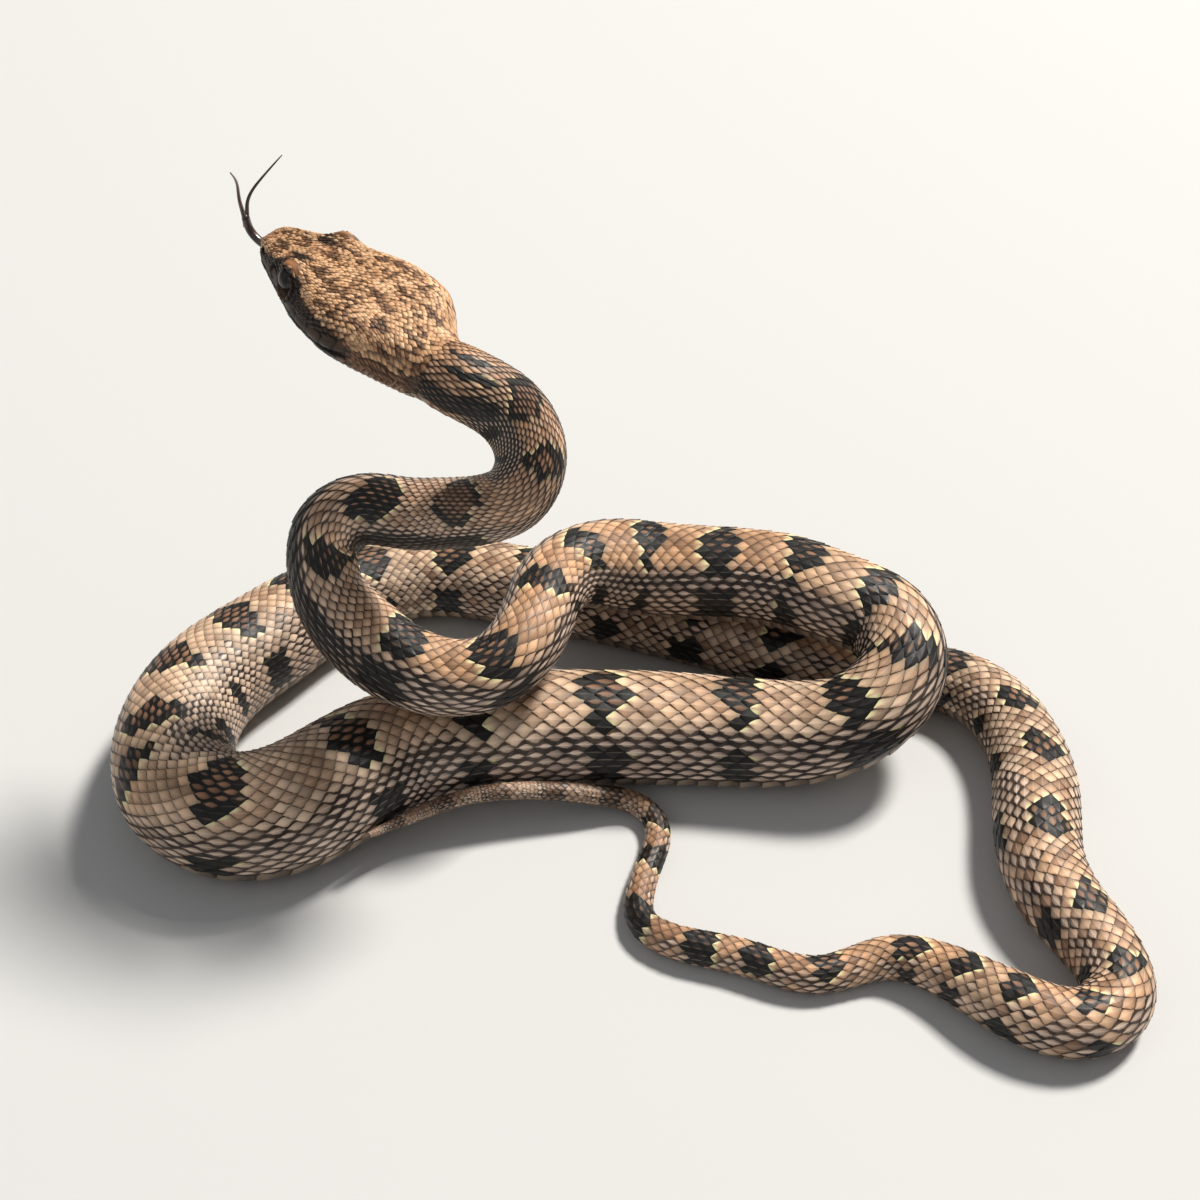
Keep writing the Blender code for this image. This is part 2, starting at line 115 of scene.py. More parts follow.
# The head, in its own axes: x right, y forward, z up, origin in the middle of the nape
HEAD_LENGTH = 30.5
NAPE = (-18.3, -17.3, 63.1)
HEAD_YAW, HEAD_PITCH, HEAD_ROLL = 50.0, 7.6, 1.4
NAPE_TURN = 5.0
HEAD_SWAY, SWAY_LENGTH = 1.75, 8.5
NAPE_BLEND = 5.0              # stretch over which the neck's section becomes the head's
STATIONS = [
    (0.0, 0.9, 0.8, 0.6, 0.9, -0.2, 0.6, -0.9, -1.1),
    (0.6, 1.9, 1.5, 1.6, 1.6, 0.0, 1.3, -1.4, -1.6),
    (1.6, 2.4, 2.1, 2.1, 2.4, 0.1, 1.9, -1.6, -1.9),
    (3.6, 2.9, 2.7, 2.6, 3.4, 0.1, 2.7, -1.9, -2.3),
    (6.2, 3.4, 3.4, 3.1, 4.7, 0.0, 3.8, -2.2, -2.8),
    (9.0, 4.0, 4.8, 3.9, 6.1, 0.0, 4.8, -2.5, -3.2),
    (11.4, 4.1, 4.9, 3.6, 7.2, 0.1, 5.7, -2.7, -3.5),
    (14.6, 4.4, 5.6, 3.7, 8.2, 0.3, 6.4, -2.6, -3.8),
    (18.2, 4.6, 6.1, 3.8, 8.8, 0.4, 6.9, -2.7, -4.1),
    (21.6, 4.6, 6.0, 3.7, 8.6, 0.4, 6.7, -2.7, -4.3),
    (24.8, 4.4, 5.1, 3.6, 7.3, 0.3, 5.6, -2.9, -4.3),
    (27.8, 4.1, 3.7, 3.2, 5.4, 0.1, 4.2, -2.9, -4.1),
    (30.5, 3.8, 2.9, 2.7, 4.1, 0.0, 3.0, -2.7, -3.8),
]
MOUTH = [(-2.0, -0.55), (3.0, -0.65), (9.0, -0.8), (15.0, -0.7), (19.0, -0.2), (21.8, 0.6)]
MOUTH_END = 21.8
EYE_OUT = 4.25
EYE_SPOT = (8.6, 1.75)        # behind the snout tip, height
NOSTRIL_SPOT = (1.9, 1.0)
PIT_SPOT = (5.3, 0.85)


def ease(value: Array, low: float = 0.0, high: float = 1.0) -> Array:
    """Eased rise from 0 at low to 1 at high: 3 t^2 - 2 t^3."""
    part = np.clip((np.asarray(value, float) - low) / (high - low), 0.0, 1.0)
    return part * part * (3.0 - 2.0 * part)


def fade(value: Array, low: float, high: float) -> Array:
    """Eased fall from 1 at low to 0 at high."""
    return 1.0 - ease(value, low, high)


def plateau(value: Array, start: float, full: float, last: float, end: float) -> Array:
    """Eased rise from start to full, then eased fall from last to end."""
    return ease(value, start, full) * fade(value, last, end)


def bell(value: Array, width: float) -> Array:
    """A bell of height 1 about 0: exp(-(value / width)^2)."""
    return np.exp(-(np.asarray(value, float) / width) ** 2)


def through(table: list, at: Array) -> Array:
    """Value of a table along a cubic that never overshoots its rows.

    The slope at a row is the harmonic mean of the slopes on its two sides, and 0 at a turning point.

    Args:
        table: rows of a place and one or more values.
        at: places to read.

    Returns:
        One row of values for each place.
    """
    rows = np.array(table, float)
    at = np.clip(np.asarray(at, float), rows[0, 0], rows[-1, 0])
    step = np.diff(rows[:, 0])[:, None]
    rise = np.diff(rows[:, 1:], axis=0) / step
    same = rise[1:] * rise[:-1] > 0.0
    total = np.where(same, rise[1:] + rise[:-1], 1.0)
    inner = np.where(same, 2.0 * rise[1:] * rise[:-1] / total, 0.0)
    slope = np.vstack([rise[:1], inner, rise[-1:]])
    row = np.clip(np.searchsorted(rows[:, 0], at, side="right") - 1, 0, len(rows) - 2)
    part = ((at - rows[row, 0]) / step[row, 0])[..., None]
    low, high = rows[row, 1:], rows[row + 1, 1:]
    return (low * (1 + 2 * part) * (1 - part) ** 2 + high * part ** 2 * (3 - 2 * part)
            + step[row] * part * (1 - part) * (slope[row] * (1 - part) - slope[row + 1] * part))


def splines(keys: Array, per_span: int) -> Array:
    """Natural cubic curves through rows of keys, with chord lengths as knots, all solved at once.

    Args:
        keys: (curves, keys, dimensions).
        per_span: points in each span between two keys.

    Returns:
        (curves, spans * per_span + 1, dimensions).
    """
    curves, count, _ = keys.shape
    step = np.linalg.norm(np.diff(keys, axis=1), axis=2)
    system = np.tile(np.eye(count), (curves, 1, 1))
    right = np.zeros_like(keys)
    for i in range(1, count - 1):
        system[:, i, i - 1] = step[:, i - 1]
        system[:, i, i] = 2.0 * (step[:, i - 1] + step[:, i])
        system[:, i, i + 1] = step[:, i]
    chord = np.diff(keys, axis=1) / step[..., None]
    right[:, 1:-1] = 6.0 * np.diff(chord, axis=1)
    bend = np.linalg.solve(system, right)
    part = np.linspace(0.0, 1.0, per_span, endpoint=False)[:, None]
    back = 1.0 - part
    near, far = keys[:, :-1, None], keys[:, 1:, None]
    curve = (back * near + part * far
             + ((back ** 3 - back) * bend[:, :-1, None] + (part ** 3 - part) * bend[:, 1:, None])
             * step[..., None, None] ** 2 / 6.0)
    return np.concatenate([curve.reshape(curves, -1, keys.shape[2]), keys[:, -1:]], axis=1)


def evenly(curves: Array, count: int) -> Array:
    """The same curves through points spread evenly by arc length.

    Args:
        curves: (curves, points, dimensions).
        count: number of points on each new curve.

    Returns:
        (curves, count, dimensions).
    """
    along = np.linalg.norm(np.diff(curves, axis=1), axis=2).cumsum(axis=1)
    along = np.pad(along, ((0, 0), (1, 0)))
    shift = 2.0 * np.arange(len(curves))[:, None]
    known = (along / along[:, -1:] + shift).ravel()
    wanted = (np.linspace(0.0, 1.0, count) + shift).ravel()
    columns = [np.interp(wanted, known, curves[..., k].ravel()) for k in range(curves.shape[2])]
    return np.stack(columns, axis=-1).reshape(len(curves), count, -1)


def turn(axis: int, degrees: float) -> Array:
    """Matrix of a turn about one axis.

    Args:
        axis: 0, 1 or 2 for x, y or z.
        degrees: angle of the turn.

    Returns:
        The matrix.
    """
    cosine, sine = math.cos(math.radians(degrees)), math.sin(math.radians(degrees))
    matrix = np.eye(3)
    first, second = [(1, 2), (2, 0), (0, 1)][axis]
    matrix[first, first] = matrix[second, second] = cosine
    matrix[first, second], matrix[second, first] = -sine, sine
    return matrix


def sway(behind: Array) -> Array:
    """Sideways shift of the head's middle line at a distance behind the snout tip."""
    return HEAD_SWAY * fade(behind, HEAD_LENGTH - SWAY_LENGTH, HEAD_LENGTH)


def away_from(spot: tuple[float, float], behind: Array, height: Array) -> Array:
    """Distance, seen from the side, from a spot of the head."""
    return np.hypot(behind - spot[0], height - spot[1])


class Head:
    """The head's own axes and its bare section, with its folds, sockets and pits."""

    def __init__(self) -> None:
        """Works out the axes: columns right, forward and up."""
        self.axes = turn(2, HEAD_YAW) @ turn(0, HEAD_PITCH) @ turn(1, HEAD_ROLL)
        self.origin = np.array([NAPE[0] - ORIGIN[0], NAPE[1] - ORIGIN[1], NAPE[2]])

    def world(self, place: Array) -> Array:
        """Places in the model from places in the head's axes."""
        return self.origin + np.asarray(place, float) @ self.axes.T

    def measure(self, place: Array) -> tuple[Array, Array, Array]:
        """Distance behind the snout tip, out from the middle line to the right, and height."""
        local = (place - self.origin) @ self.axes
        behind = HEAD_LENGTH - local[..., 1]
        return behind, local[..., 0] - sway(behind), local[..., 2]

    def mouth(self, behind: Array) -> Array:
        """Height of the mouth line at a distance behind the snout tip."""
        return through(MOUTH, behind)[..., 0]

    def halves(self, behind: Array, count: int) -> Array:
        """Right half of the section from crown to throat, spread evenly by arc length.

        Args:
            behind: distances behind the snout tip.
            count: points on each half.

        Returns:
            (sections, count, 2) of sideways place and height.
        """
        top, canthus, canthus_z, lip, lip_z, jaw, jaw_z, throat = through(STATIONS, behind).T
        keys = np.stack([
            np.stack([0.0 * top, canthus * 0.55, canthus, (canthus + 2.0 * lip) / 3.0, lip, jaw,
                      jaw * 0.5, 0.0 * top], axis=1),
            np.stack([top, top * 0.985, canthus_z, (canthus_z + lip_z) / 2.0, lip_z, jaw_z,
                      throat * 0.96, throat], axis=1)], axis=2)
        half = evenly(splines(keys, 12), count)
        half[..., 0] = half[..., 0].clip(0.0)
        return half

    def relief(self, behind: Array, out: Array, height: Array) -> Array:
        """How far the head's surface stands out from its bare section, the same on both sides.

        It adds up bells and eased steps: brow ridges, jaw muscles, lips and eye rims stand out, and
        the furrow of the crown, mouth line, sockets, nostrils and heat pits go in.

        Args:
            behind: distance behind the snout tip.
            out: distance from the middle line.
            height: height in the head's axes.

        Returns:
            Height over the bare section, for each place.
        """
        from_eye = away_from(EYE_SPOT, behind, height)
        flank = ease(out, 1.0, 2.0)
        from_mouth = height - self.mouth(behind)
        mouth = fade(behind, MOUTH_END - 1.5, MOUTH_END + 0.8)
        brow = bell(behind - 9.2, 2.6) * bell(out - 4.4, 1.0) * ease(height, 2.4, 3.4)
        crown = bell(out, 1.7) * ease(height, 2.0, 3.0)
        muscle = bell(behind - 19.0, 5.0) * bell(out - 6.6, 2.4) * ease(height, -1.0, 2.0)
        nostril = away_from(NOSTRIL_SPOT, behind, height)
        pit = np.hypot((behind - PIT_SPOT[0]) * 0.8, height - PIT_SPOT[1])
        rise = 0.3 * brow + 0.25 * muscle - 0.28 * crown * bell(behind - 9.0, 5.0)
        rise += 0.16 * mouth * bell(from_mouth - 0.75, 0.5) + 0.12 * mouth * bell(from_mouth + 0.75, 0.5)
        rise -= 0.38 * mouth * bell(from_mouth, 0.2)
        rise += flank * (0.16 * bell(from_eye - 1.8, 0.35) - 0.9 * fade(from_eye, 1.1, 1.6))
        rise -= flank * (0.45 * bell(nostril, 0.3) + 0.75 * bell(pit, 0.45))
        return rise


class Form:
    """The animal's surface as places and outward normals over S and the arc round the section."""

    HALF = 96                 # steps round half a section
    BODY_STEP = 0.45          # distance between the sections kept along the body
    HEAD_STEP = 0.12          # the same along the head

    def __init__(self, head: Head) -> None:
        """Works out the whole surface once, as a fine net that later calls read between."""
        self.head = head
        self._centreline()
        self.total = self.length + HEAD_LENGTH
        body = np.arange(0.0, self.length - NAPE_BLEND, self.BODY_STEP)
        front = np.linspace(self.length - NAPE_BLEND, self.total,
                            int((HEAD_LENGTH + NAPE_BLEND) / self.HEAD_STEP))
        self.rows = np.r_[body, front]
        self.places = self._body_places(self.rows)
        share = ease(front, self.length - NAPE_BLEND / 2, self.length + NAPE_BLEND / 2)
        neck = self.places[len(body):]
        neck += (self._head_places(self.total - front) - neck) * share[:, None, None]
        ring = np.concatenate([self.places, self.places[:, :1]], axis=1)
        self.half_arc = np.linalg.norm(np.diff(ring, axis=1), axis=2).sum(axis=1) / 2.0
        ahead = np.gradient(self.places, axis=0)
        across = np.roll(self.places, -1, axis=1) - np.roll(self.places, 1, axis=1)
        normals = np.cross(across, ahead)
        self.normals = normals / np.linalg.norm(normals, axis=2)[..., None].clip(1e-9)

    def _centreline(self) -> None:
        """The body's centreline with its girth, lift and direction, worked out as the solids have it."""
        forward = self.head.axes[:, 1]
        nape_lift = NAPE[2] - BELLY * GIRTH[-1][1]
        guide = np.array(NAPE) + HEAD_GUIDE * forward
        points = ROUTE + [(NAPE[0], NAPE[1], nape_lift),
                          (guide[0], guide[1], nape_lift + HEAD_GUIDE * forward[2])]
        curve = splines(np.array([points], float), SPAN_POINTS)[0] - (*ORIGIN, 0.0)
        along = np.r_[0.0, np.linalg.norm(np.diff(curve, axis=0), axis=1).cumsum()]
        self.along = along
        self.length = along[-1 - SPAN_POINTS]
        self.lift = curve[:, 2].clip(0.0)
        radius = through(GIRTH, along)[:, 0]
        self.centre = np.column_stack([curve[:, :2], self.lift + BELLY * radius])
        course = np.gradient(self.centre, axis=0)
        course /= np.linalg.norm(course, axis=1)[:, None]
        turned = np.clip((along - self.length + NAPE_TURN) / NAPE_TURN, 0.0, 1.0)[:, None]
        self.course = course * (1.0 - turned) + forward * turned

    @staticmethod
    def _whole(half: Array) -> Array:
        """A whole section from its right half, from the belly line round by the left to it again."""
        return np.concatenate([half[:, :0:-1] * (-1.0, 1.0), half[:, :-1]], axis=1)

    def _body_places(self, at: Array) -> Array:
        """Places of the body's sections, each set square to the centreline.

        Sideways a section is the girth times the sine of the angle; its height is the girth times the
        cosine, eased into the flat belly.

        Args:
            at: S of each section.

        Returns:
            (sections, points, 3).
        """
        radius = through(GIRTH, at)[:, :1]
        raised = np.clip(np.interp(at, self.along, self.lift) / LIFT_ROUND, 0.0, 1.0)[:, None]
        angle = np.linspace(0.0, math.pi, self.HALF + 1)
        lowest = -(BELLY + (BELLY_RAISED - BELLY) * raised)
        above = np.cos(angle) - lowest
        height = lowest + (above + np.sqrt(above ** 2 + (BELLY_SOFT * (1.0 - 0.8 * raised)) ** 2)) / 2.0
        half = evenly(np.stack([radius * WIDE * np.sin(angle), radius * height], axis=2), self.HALF + 1)
        centre, forward = (np.column_stack([np.interp(at, self.along, track[:, k]) for k in range(3)])
                           for track in (self.centre, self.course))
        upright = np.column_stack([through(LEAN, at), np.ones(len(at))])
        right = np.cross(forward, upright)
        right /= np.linalg.norm(right, axis=1)[:, None]
        up = np.cross(right, forward / np.linalg.norm(forward, axis=1)[:, None])
        whole = self._whole(half)
        return centre[:, None] + whole[..., :1] * right[:, None] + whole[..., 1:] * up[:, None]

    def _head_places(self, behind: Array) -> Array:
        """Places of the head's sections, with the head's relief on them.

        Args:
            behind: distance of each section behind the snout tip.

        Returns:
            (sections, points, 3).
        """
        half = self.head.halves(behind.clip(0.0, HEAD_LENGTH), self.HALF + 1)
        whole = self._whole(half)
        along = np.roll(whole, -1, axis=1) - np.roll(whole, 1, axis=1)
        outward = np.stack([-along[..., 1], along[..., 0]], axis=2)
        outward /= np.linalg.norm(outward, axis=2)[..., None].clip(1e-9)
        rise = self.head.relief(behind[:, None], np.abs(whole[..., 0]), whole[..., 1])
        rise *= fade(behind, HEAD_LENGTH - 4.0, HEAD_LENGTH)[:, None]
        rise *= ease(behind, 0.0, 0.8)[:, None]
        whole = whole + outward * rise[..., None]
        whole[..., 0] += sway(behind)[:, None]
        forward = np.broadcast_to((HEAD_LENGTH - behind)[:, None], whole.shape[:2])
        return self.head.world(np.stack([whole[..., 0], forward, whole[..., 1]], axis=2))

    def arc_limit(self, at: Array) -> Array:
        """Arc from the back line to the belly line."""
        return np.interp(at, self.rows, self.half_arc)

    def read(self, at: Array, arc: Array) -> tuple[Array, Array]:
        """Places and outward normals of the bare surface, read between the points of the net.

        Args:
            at: S of each place.
            arc: arc from the back line, of the same shape.

        Returns:
            Places and normals, one of each for every S and arc.
        """
        at, arc = np.broadcast_arrays(np.asarray(at, float), np.asarray(arc, float))
        row = np.interp(at, self.rows, np.arange(len(self.rows)))
        column = (arc / self.arc_limit(at) + 1.0) * self.HALF
        near, left = np.floor(row).astype(int), np.floor(column).astype(int)
        near = near.clip(0, len(self.rows) - 2)
        row_part, column_part = (row - near)[..., None], (column - left)[..., None]
        left, right = left % (2 * self.HALF), (left + 1) % (2 * self.HALF)
        place, normal = (
            (net[near, left] * (1 - column_part) + net[near, right] * column_part) * (1 - row_part)
            + (net[near + 1, left] * (1 - column_part) + net[near + 1, right] * column_part) * row_part
            for net in (self.places, self.normals))
        return place, normal / np.linalg.norm(normal, axis=-1)[..., None].clip(1e-9)

    def arc_at_height(self, at: Array, height: Array) -> Array:
        """Arc on the right side of the head where its surface has a given height.

        Args:
            at: S of each place.
            height: height of each place in the head's axes.

        Returns:
            Arcs, read between trial places above and below the height.
        """
        shape = np.broadcast(at, height).shape
        at, height = (np.broadcast_to(value, shape).ravel() for value in (at, height))
        arcs = np.linspace(0.02, 0.98, 90) * self.arc_limit(at)[:, None]
        seen = self.head.measure(self.read(at[:, None], arcs)[0])[2]
        over = np.diff(np.sign(seen - height[:, None]), axis=1) < 0
        first = np.argmax(over, axis=1)
        pick = np.arange(len(at))
        drop = (seen[pick, first] - height) / (seen[pick, first] - seen[pick, first + 1] + 1e-9)
        wide = arcs[pick, first + 1] - arcs[pick, first]
        return (arcs[pick, first] + wide * drop.clip(0, 1)).reshape(shape)


# Pitch of the scales in one column along S, and the number of dorsal columns, between belly edges
PITCH = [
    (0, 0.7), (30, 1.1), (60, 1.5), (90, 1.7), (120, 1.75), (200, 1.9), (250, 1.8), (290, 1.6),
    (325, 1.7), (345, 2.3), (362, 2.75), (395, 2.8), (430, 2.1), (480, 2.0), (536, 1.85),
    (545, 1.4), (552, 1.15), (560, 1.02), (570, 0.94), (577, 0.9), (592, 0.88), (600, 0.76),
    (606, 0.66), (609, 0.6),
]
COLUMNS = [
    (0, 7), (40, 9), (70, 11), (95, 15), (115, 17), (140, 19), (200, 21), (250, 27), (290, 33),
    (325, 33), (345, 29), (365, 25), (395, 25), (440, 25), (480, 23), (523, 23), (536, 25),
    (548, 31), (560, 33), (577, 33),
]
HEAD_COLUMN = [(576, 0.4), (584, 0.35), (592, 0.29), (600, 0.24), (606, 0.21), (609, 0.19)]
DORSAL_SHARE = 0.585          # share of the half section that the keeled scales cover
COAT_PER_PITCH = 0.115        # depth of the coat over the pitch
HEAD_COAT = 0.2
LOWER_LIP = 1.15              # height of the lower lip plates
LIP_GAP = 0.13                # gap from the lip plates to the mouth line
BAND_PITCH = [
    (0, 0.9), (60, 1.4), (94, 2.0), (300, 2.7), (395, 2.8), (440, 2.1), (577, 1.6), (609, 1.5),
]
LIP_BOUNDS = (0.75, 2.5, 4.6, 7.0, 9.6, 12.3, 15.0, 17.6, 19.9, 21.7)
LOWER_LIP_SHIFT = (0.1, 0.3, 0.5, 0.8, 1.0, 1.0, 0.8, 0.6, 0.4, 0.0)

# How strongly the flank darkens, along the body
FLANK_SHARE = [
    (0, 0.15), (95, 0.2), (140, 0.15), (265, 0.12), (295, 0.45), (330, 0.9), (372, 1.0), (577, 1.0),
]
# How far the pattern's middle is turned from the back line to the right, in degrees
PATTERN_TURN = [
    (0, 0), (270, 0), (296, 20), (307, 18), (311, 46), (314, 50), (319, 20), (324, 14), (332, 0),
    (470, 0), (482, 6), (491, 15), (503, 40), (513, 34), (523, 23), (531, 4), (538, -8), (552, -8),
    (560, 20), (568, 8), (577, 0),
]
# Angle from the pattern's middle to the foot of each blotch
PATTERN_FOOT = [
    (60, 130), (98, 40), (125, 33), (165, 33), (200, 44), (290, 44), (304, 39), (322, 38),
    (372, 46), (577, 46),
]
# Height of the dark cheek's upper edge at a distance behind the snout tip
CHEEK_TOP = [
    (0, 0.5), (2.3, 1.1), (5, 2.3), (7.2, 3.7), (8.6, 4.0), (10.2, 3.7), (11.4, 2.9), (12.6, 2.2),
    (16.9, 2.1), (21.1, 1.8), (24.4, 1.4), (27.8, 0.9), (31, 1.6),
]
# Middle and half length of each blotch along the back
BLOTCHES = [
    (5, 1.6), (12, 1.6), (19, 1.6), (26.5, 1.7), (34, 1.7), (41.9, 1.7), (49, 1.9), (58.5, 2.1),
    (68, 1.9), (75, 1.7), (83.3, 2.1), (94, 2), (101.3, 1.6), (108, 1.8), (117, 1.9), (124.5, 2),
    (134.5, 2.6), (147.6, 2.9), (160, 2.5), (169.5, 2.4), (181, 2.6), (192.5, 2.6), (204, 2.6),
    (216, 2.7), (228, 2.7), (240, 2.7), (252, 2.7), (264, 2.6), (275, 2.5), (286, 2.4), (296.2, 2.5),
    (306.5, 2.2), (312, 1.7), (321.8, 2.6), (338.9, 3.2), (355.5, 3.2), (373, 3.2), (391.2, 3.1),
    (407, 2.8), (416.8, 2.1), (426, 2.1), (435.8, 2.4), (447.2, 2.5), (457.8, 2.4), (468.5, 2.3),
    (478.5, 2.5), (491, 2.9), (504.5, 3.5), (523.3, 2.9), (536, 4.2), (549.6, 3.6), (560.5, 1.7),
    (567.5, 2.2),
]
# Dark marks of the crown: distance behind the snout tip, out from the middle line, length, width
CROWN_MARKS = [
    (4.2, -1.5, 1.5, 1.0), (5.2, 1.9, 1.3, 0.8), (7.0, 2.6, 1.2, 0.7), (9.3, 2.5, 1.6, 0.8),
    (8.2, -1.6, 1.1, 0.6), (12.0, -2.6, 1.3, 1.3), (13.8, -3.6, 1.0, 1.2), (16.0, -4.2, 1.3, 1.0),
    (18.3, -4.6, 1.5, 0.8), (12.2, 2.9, 1.2, 0.9), (14.9, 4.4, 1.4, 0.9), (17.4, 4.9, 1.5, 0.7),
    (15.5, -0.6, 1.0, 0.7), (19.0, -1.5, 2.0, 0.6), (21.5, -2.4, 1.6, 0.7), (20.6, 1.3, 1.2, 0.8),
    (19.2, 3.0, 1.6, 0.6), (23.2, 3.4, 1.9, 0.7), (24.4, 0.2, 1.2, 0.8), (26.5, 1.8, 2.2, 0.6),
    (26.8, -1.9, 2.4, 0.7), (2.6, 0.9, 0.8, 0.6), (10.3, 0.5, 0.9, 0.6), (23.4, -4.6, 1.6, 0.7),
]


class Coat:
    """Sizes of the scale pattern over the body: pitch, column width, coat depth and edge."""

    def __init__(self, form: Form) -> None:
        """Keeps the form and adds up the phase, which rises by 1 from one scale to the next."""
        self.form = form
        self.at = np.linspace(0.0, form.total, 4000)
        step = 1.0 / through(PITCH, self.at)[:, 0]
        self.phase = np.r_[0.0, ((step[1:] + step[:-1]) / 2.0 * np.diff(self.at)).cumsum()]

    def pitch(self, at: Array) -> Array:
        """Distance between scales in one column."""
        return through(PITCH, at)[..., 0]

    def depth(self, at: Array) -> Array:
        """Depth of the coat, from the skin to the outer surface."""
        on_head = ease(at, self.form.length - 6.0, self.form.length + 4.0)
        return self.pitch(at) * COAT_PER_PITCH * (1.0 - on_head) + HEAD_COAT * on_head

    def edge(self, at: Array) -> Array:
        """Arc from the back line to the edge of the keeled scales.

        On the body it is a fixed share of the half section; on the head it is the upper edge of the
        lip plates, and the two are eased into each other behind the corner of the mouth.

        Args:
            at: S of each place.

        Returns:
            One arc for each place.
        """
        behind = self.form.total - self.at[::8]
        share = DORSAL_SHARE * self.form.arc_limit(self.at[::8])
        low = past_mouth(behind)
        height = self.form.head.mouth(behind) + lip_height(behind) * (1.0 - low) - LOWER_LIP * low
        lip = self.form.arc_at_height(self.at[::8], height)
        on_head = fade(behind, MOUTH_END - 1.5, HEAD_LENGTH - 2.0)
        return np.interp(at, self.at[::8], share * (1.0 - on_head) + lip * on_head)

    def column(self, at: Array) -> Array:
        """Distance between neighbouring columns."""
        body = 2.0 * DORSAL_SHARE * self.form.arc_limit(at) / through(COLUMNS, at)[..., 0]
        head = through(HEAD_COLUMN, at)[..., 0]
        on_head = ease(at, self.form.length - 2.0, self.form.length + 3.0)
        return body * (1.0 - on_head) + head * on_head

    def place(self, at: Array, arc: Array, height: Array) -> Array:
        """Places at a height over the skin, kept off the floor.

        Args:
            at: S of each place.
            arc: arc of each place.
            height: height of each place over the skin.

        Returns:
            One place for each S and arc.
        """
        point, normal = self.form.read(at, arc)
        raised = point + normal * (height - self.depth(at))[..., None]
        raised[..., 2] = raised[..., 2].clip(0.0)
        return raised


def lip_height(behind: Array) -> Array:
    """Height of the upper lip plates."""
    return 0.55 + 1.05 * ease(behind, 0.0, 5.0) + 0.2 * ease(behind, 12.0, 20.0)


def past_mouth(behind: Array) -> Array:
    """Share from 0 to 1 of the way from the last lip plate to the skin behind the mouth's corner."""
    return ease(behind, MOUTH_END - 0.6, MOUTH_END + 0.8)


@dataclass(frozen=True)
class Noise:
    """Smooth noise from -1 to 1: the mean of six sine waves in seeded directions."""

    size: float
    seed: int

    def read(self, place: Array) -> Array:
        """The noise at each place."""
        draw = np.random.default_rng(self.seed)
        waves = draw.normal(0.0, 1.0 / self.size, (6, 3))
        shift = draw.uniform(0.0, 2.0 * math.pi, 6)
        return np.sin(place @ waves.T * 2.0 + shift).mean(axis=-1) * 1.6


CLOUD = Noise(5.0, 9)
BLOTCH_WAVE, HEART_GRAIN = Noise(2.2, 5), Noise(1.3, 31)
FLANK_MOTTLE, NECK_MOTTLE = Noise(0.9, 37), Noise(0.9, 47)
BROAD_UMBER, REAR_UMBER, NECK_UMBER = Noise(2.6, 14), Noise(1.5, 41), Noise(0.9, 33)
REAR_SPECKLE, FRONT_SPECKLE = Noise(0.7, 43), Noise(0.8, 51)
HEAD_FINE, HEAD_BROAD = Noise(0.45, 21), Noise(1.7, 22)
SCALE_SWAY = (Noise(3.2, 41), Noise(3.2, 42))


@dataclass(frozen=True)
class BodyPlaces:
    """Places on the body, with what several of its markings are worked out from."""

    at: Array
    degrees: Array                # from the pattern's middle, positive to the right
    point: Array
    cloud: Array
    on_tail: Array
    rear: Array

    @property
    def angle(self) -> Array:
        """Angle from the pattern's middle to either side."""
        return np.abs(self.degrees)


